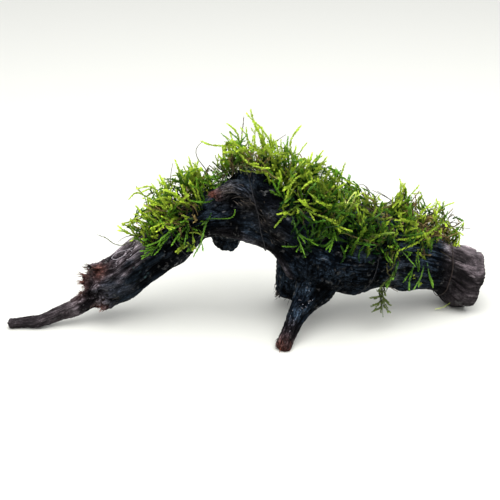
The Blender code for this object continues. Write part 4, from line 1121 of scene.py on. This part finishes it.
for node, code in THREADS.items():
    points = rows_of(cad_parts[node].data, "co", 3) / MM
    middle = points.mean(axis=0)
    flat = np.linalg.svd(points - middle, full_matrices=False)[2]
    angle = np.arctan2((points - middle) @ flat[1], (points - middle) @ flat[0])
    order = np.argsort(angle)
    cuts = np.flatnonzero(np.diff(angle[order]) > RING_GAP) + 1
    rings = [points[group] for group in np.split(order, cuts)]
    loop = np.array([(ring.min(axis=0) + ring.max(axis=0)) / 2 for ring in rings])
    loop = np.array([mix(p, on_wood(p)[0], PULL_IN) for p in loop])
    closed = np.vstack([loop, loop[:1]])
    length = np.concatenate([[0], np.cumsum(np.linalg.norm(np.diff(closed, axis=0), axis=1))])
    turns = round(length[-1] / TWIST_PITCH)
    spots = np.linspace(0, length[-1], turns * RINGS_A_TURN, endpoint=False)
    line = np.stack([np.interp(spots, length, column) for column in closed.T], axis=1)
    for _ in range(SMOOTHINGS):
        line = (np.roll(line, 1, axis=0) + 2 * line + np.roll(line, -1, axis=0)) / 4
    ahead = np.roll(line, -1, axis=0) - np.roll(line, 1, axis=0)
    ahead /= np.linalg.norm(ahead, axis=1)[:, None]
    side = np.cross(ahead, flat[2])
    side /= np.linalg.norm(side, axis=1)[:, None]
    over = np.cross(ahead, side)
    bundle = Bundle()
    twist = (spots / length[-1] * turns * 2 * math.pi)[:, None]
    around = (np.arange(PLY_SIDES) * 2 * math.pi / PLY_SIDES)[None, :, None]
    ring_of = side[:, None] * np.cos(around) + over[:, None] * np.sin(around)
    here = np.arange(len(line))[:, None] * PLY_SIDES
    there = np.roll(here, -1, axis=0)
    first = np.arange(PLY_SIDES)
    beside = (first + 1) % PLY_SIDES
    quads = np.stack([here + first, here + beside, there + beside, there + first],
                     axis=2).reshape(-1, 4)
    for ply in (0, math.pi):
        core = line + PLY_OFFSET * (side * np.cos(twist + ply) + over * np.sin(twist + ply))
        corners = (core[:, None] + ring_of * PLY_RADIUS).reshape(-1, 3)
        bundle.add(corners, quads, np.tile(linear(code), (len(corners), 1)))
    thread = bundle.piece(node + "_twisted", cotton)
    bpy.ops.object.select_all(action="DESELECT")
    thread.select_set(True)
    bpy.context.view_layer.objects.active = thread
    bpy.ops.object.mode_set(mode="EDIT")
    bpy.ops.mesh.select_all(action="SELECT")
    bpy.ops.mesh.normals_make_consistent(inside=False)
    bpy.ops.object.mode_set(mode="OBJECT")
    thread.data.shade_smooth()
    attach(thread, "root")
    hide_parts(node)

# Floor and light
# A white table under soft white light from above and behind, as in a light tent.
bpy.ops.object.select_all(action="DESELECT")
bpy.ops.mesh.primitive_plane_add(size=8, location=(0, 0, 0))
floor = bpy.context.object
floor.name = "floor"
paper, paper_shader = new_material("white matt paper")
paper_shader.inputs["Base Color"].default_value = (*linear("#dbdbd4"), 1)
paper_shader.inputs["Roughness"].default_value = 0.7
paper_shader.inputs["Specular IOR Level"].default_value = 0.2
floor.data.materials.append(paper)

# The tent is bright above and behind and darker towards the camera
BRIGHTEST_WAY = (0.05, 0.5, 0.86)
world = bpy.data.worlds.new("light tent")
bpy.context.scene.world = world
world.use_nodes = True
tent = world.node_tree.nodes["Background"]
tent.inputs["Color"].default_value = (*linear("#fbfcff"), 1)
around = add_node(world, "ShaderNodeTexCoord", {})
toward = add_node(world, "ShaderNodeVectorMath",
                  {0: around.outputs["Generated"], 1: BRIGHTEST_WAY}, operation="DOT_PRODUCT")
glow = add_node(world, "ShaderNodeMapRange",
                {"Value": toward.outputs["Value"], "From Min": -0.5, "From Max": 0.6,
                 "To Min": 0.3, "To Max": 1.09}, interpolation_type="SMOOTHSTEP")
world.node_tree.links.new(glow.outputs["Result"], tent.inputs["Strength"])

bpy.ops.object.light_add(type="AREA", location=(0.05, -0.26, 0.8))
lamp = bpy.context.object
lamp.name = "soft top light"
lamp.data.shape = "DISK"
lamp.data.size = 1.0
lamp.data.energy = 9.5
lamp.rotation_euler = (Vector((0, 0, 0.04)) - lamp.location).to_track_quat("-Z", "Y").to_euler()

bpy.context.scene.view_settings.view_transform = "Standard"
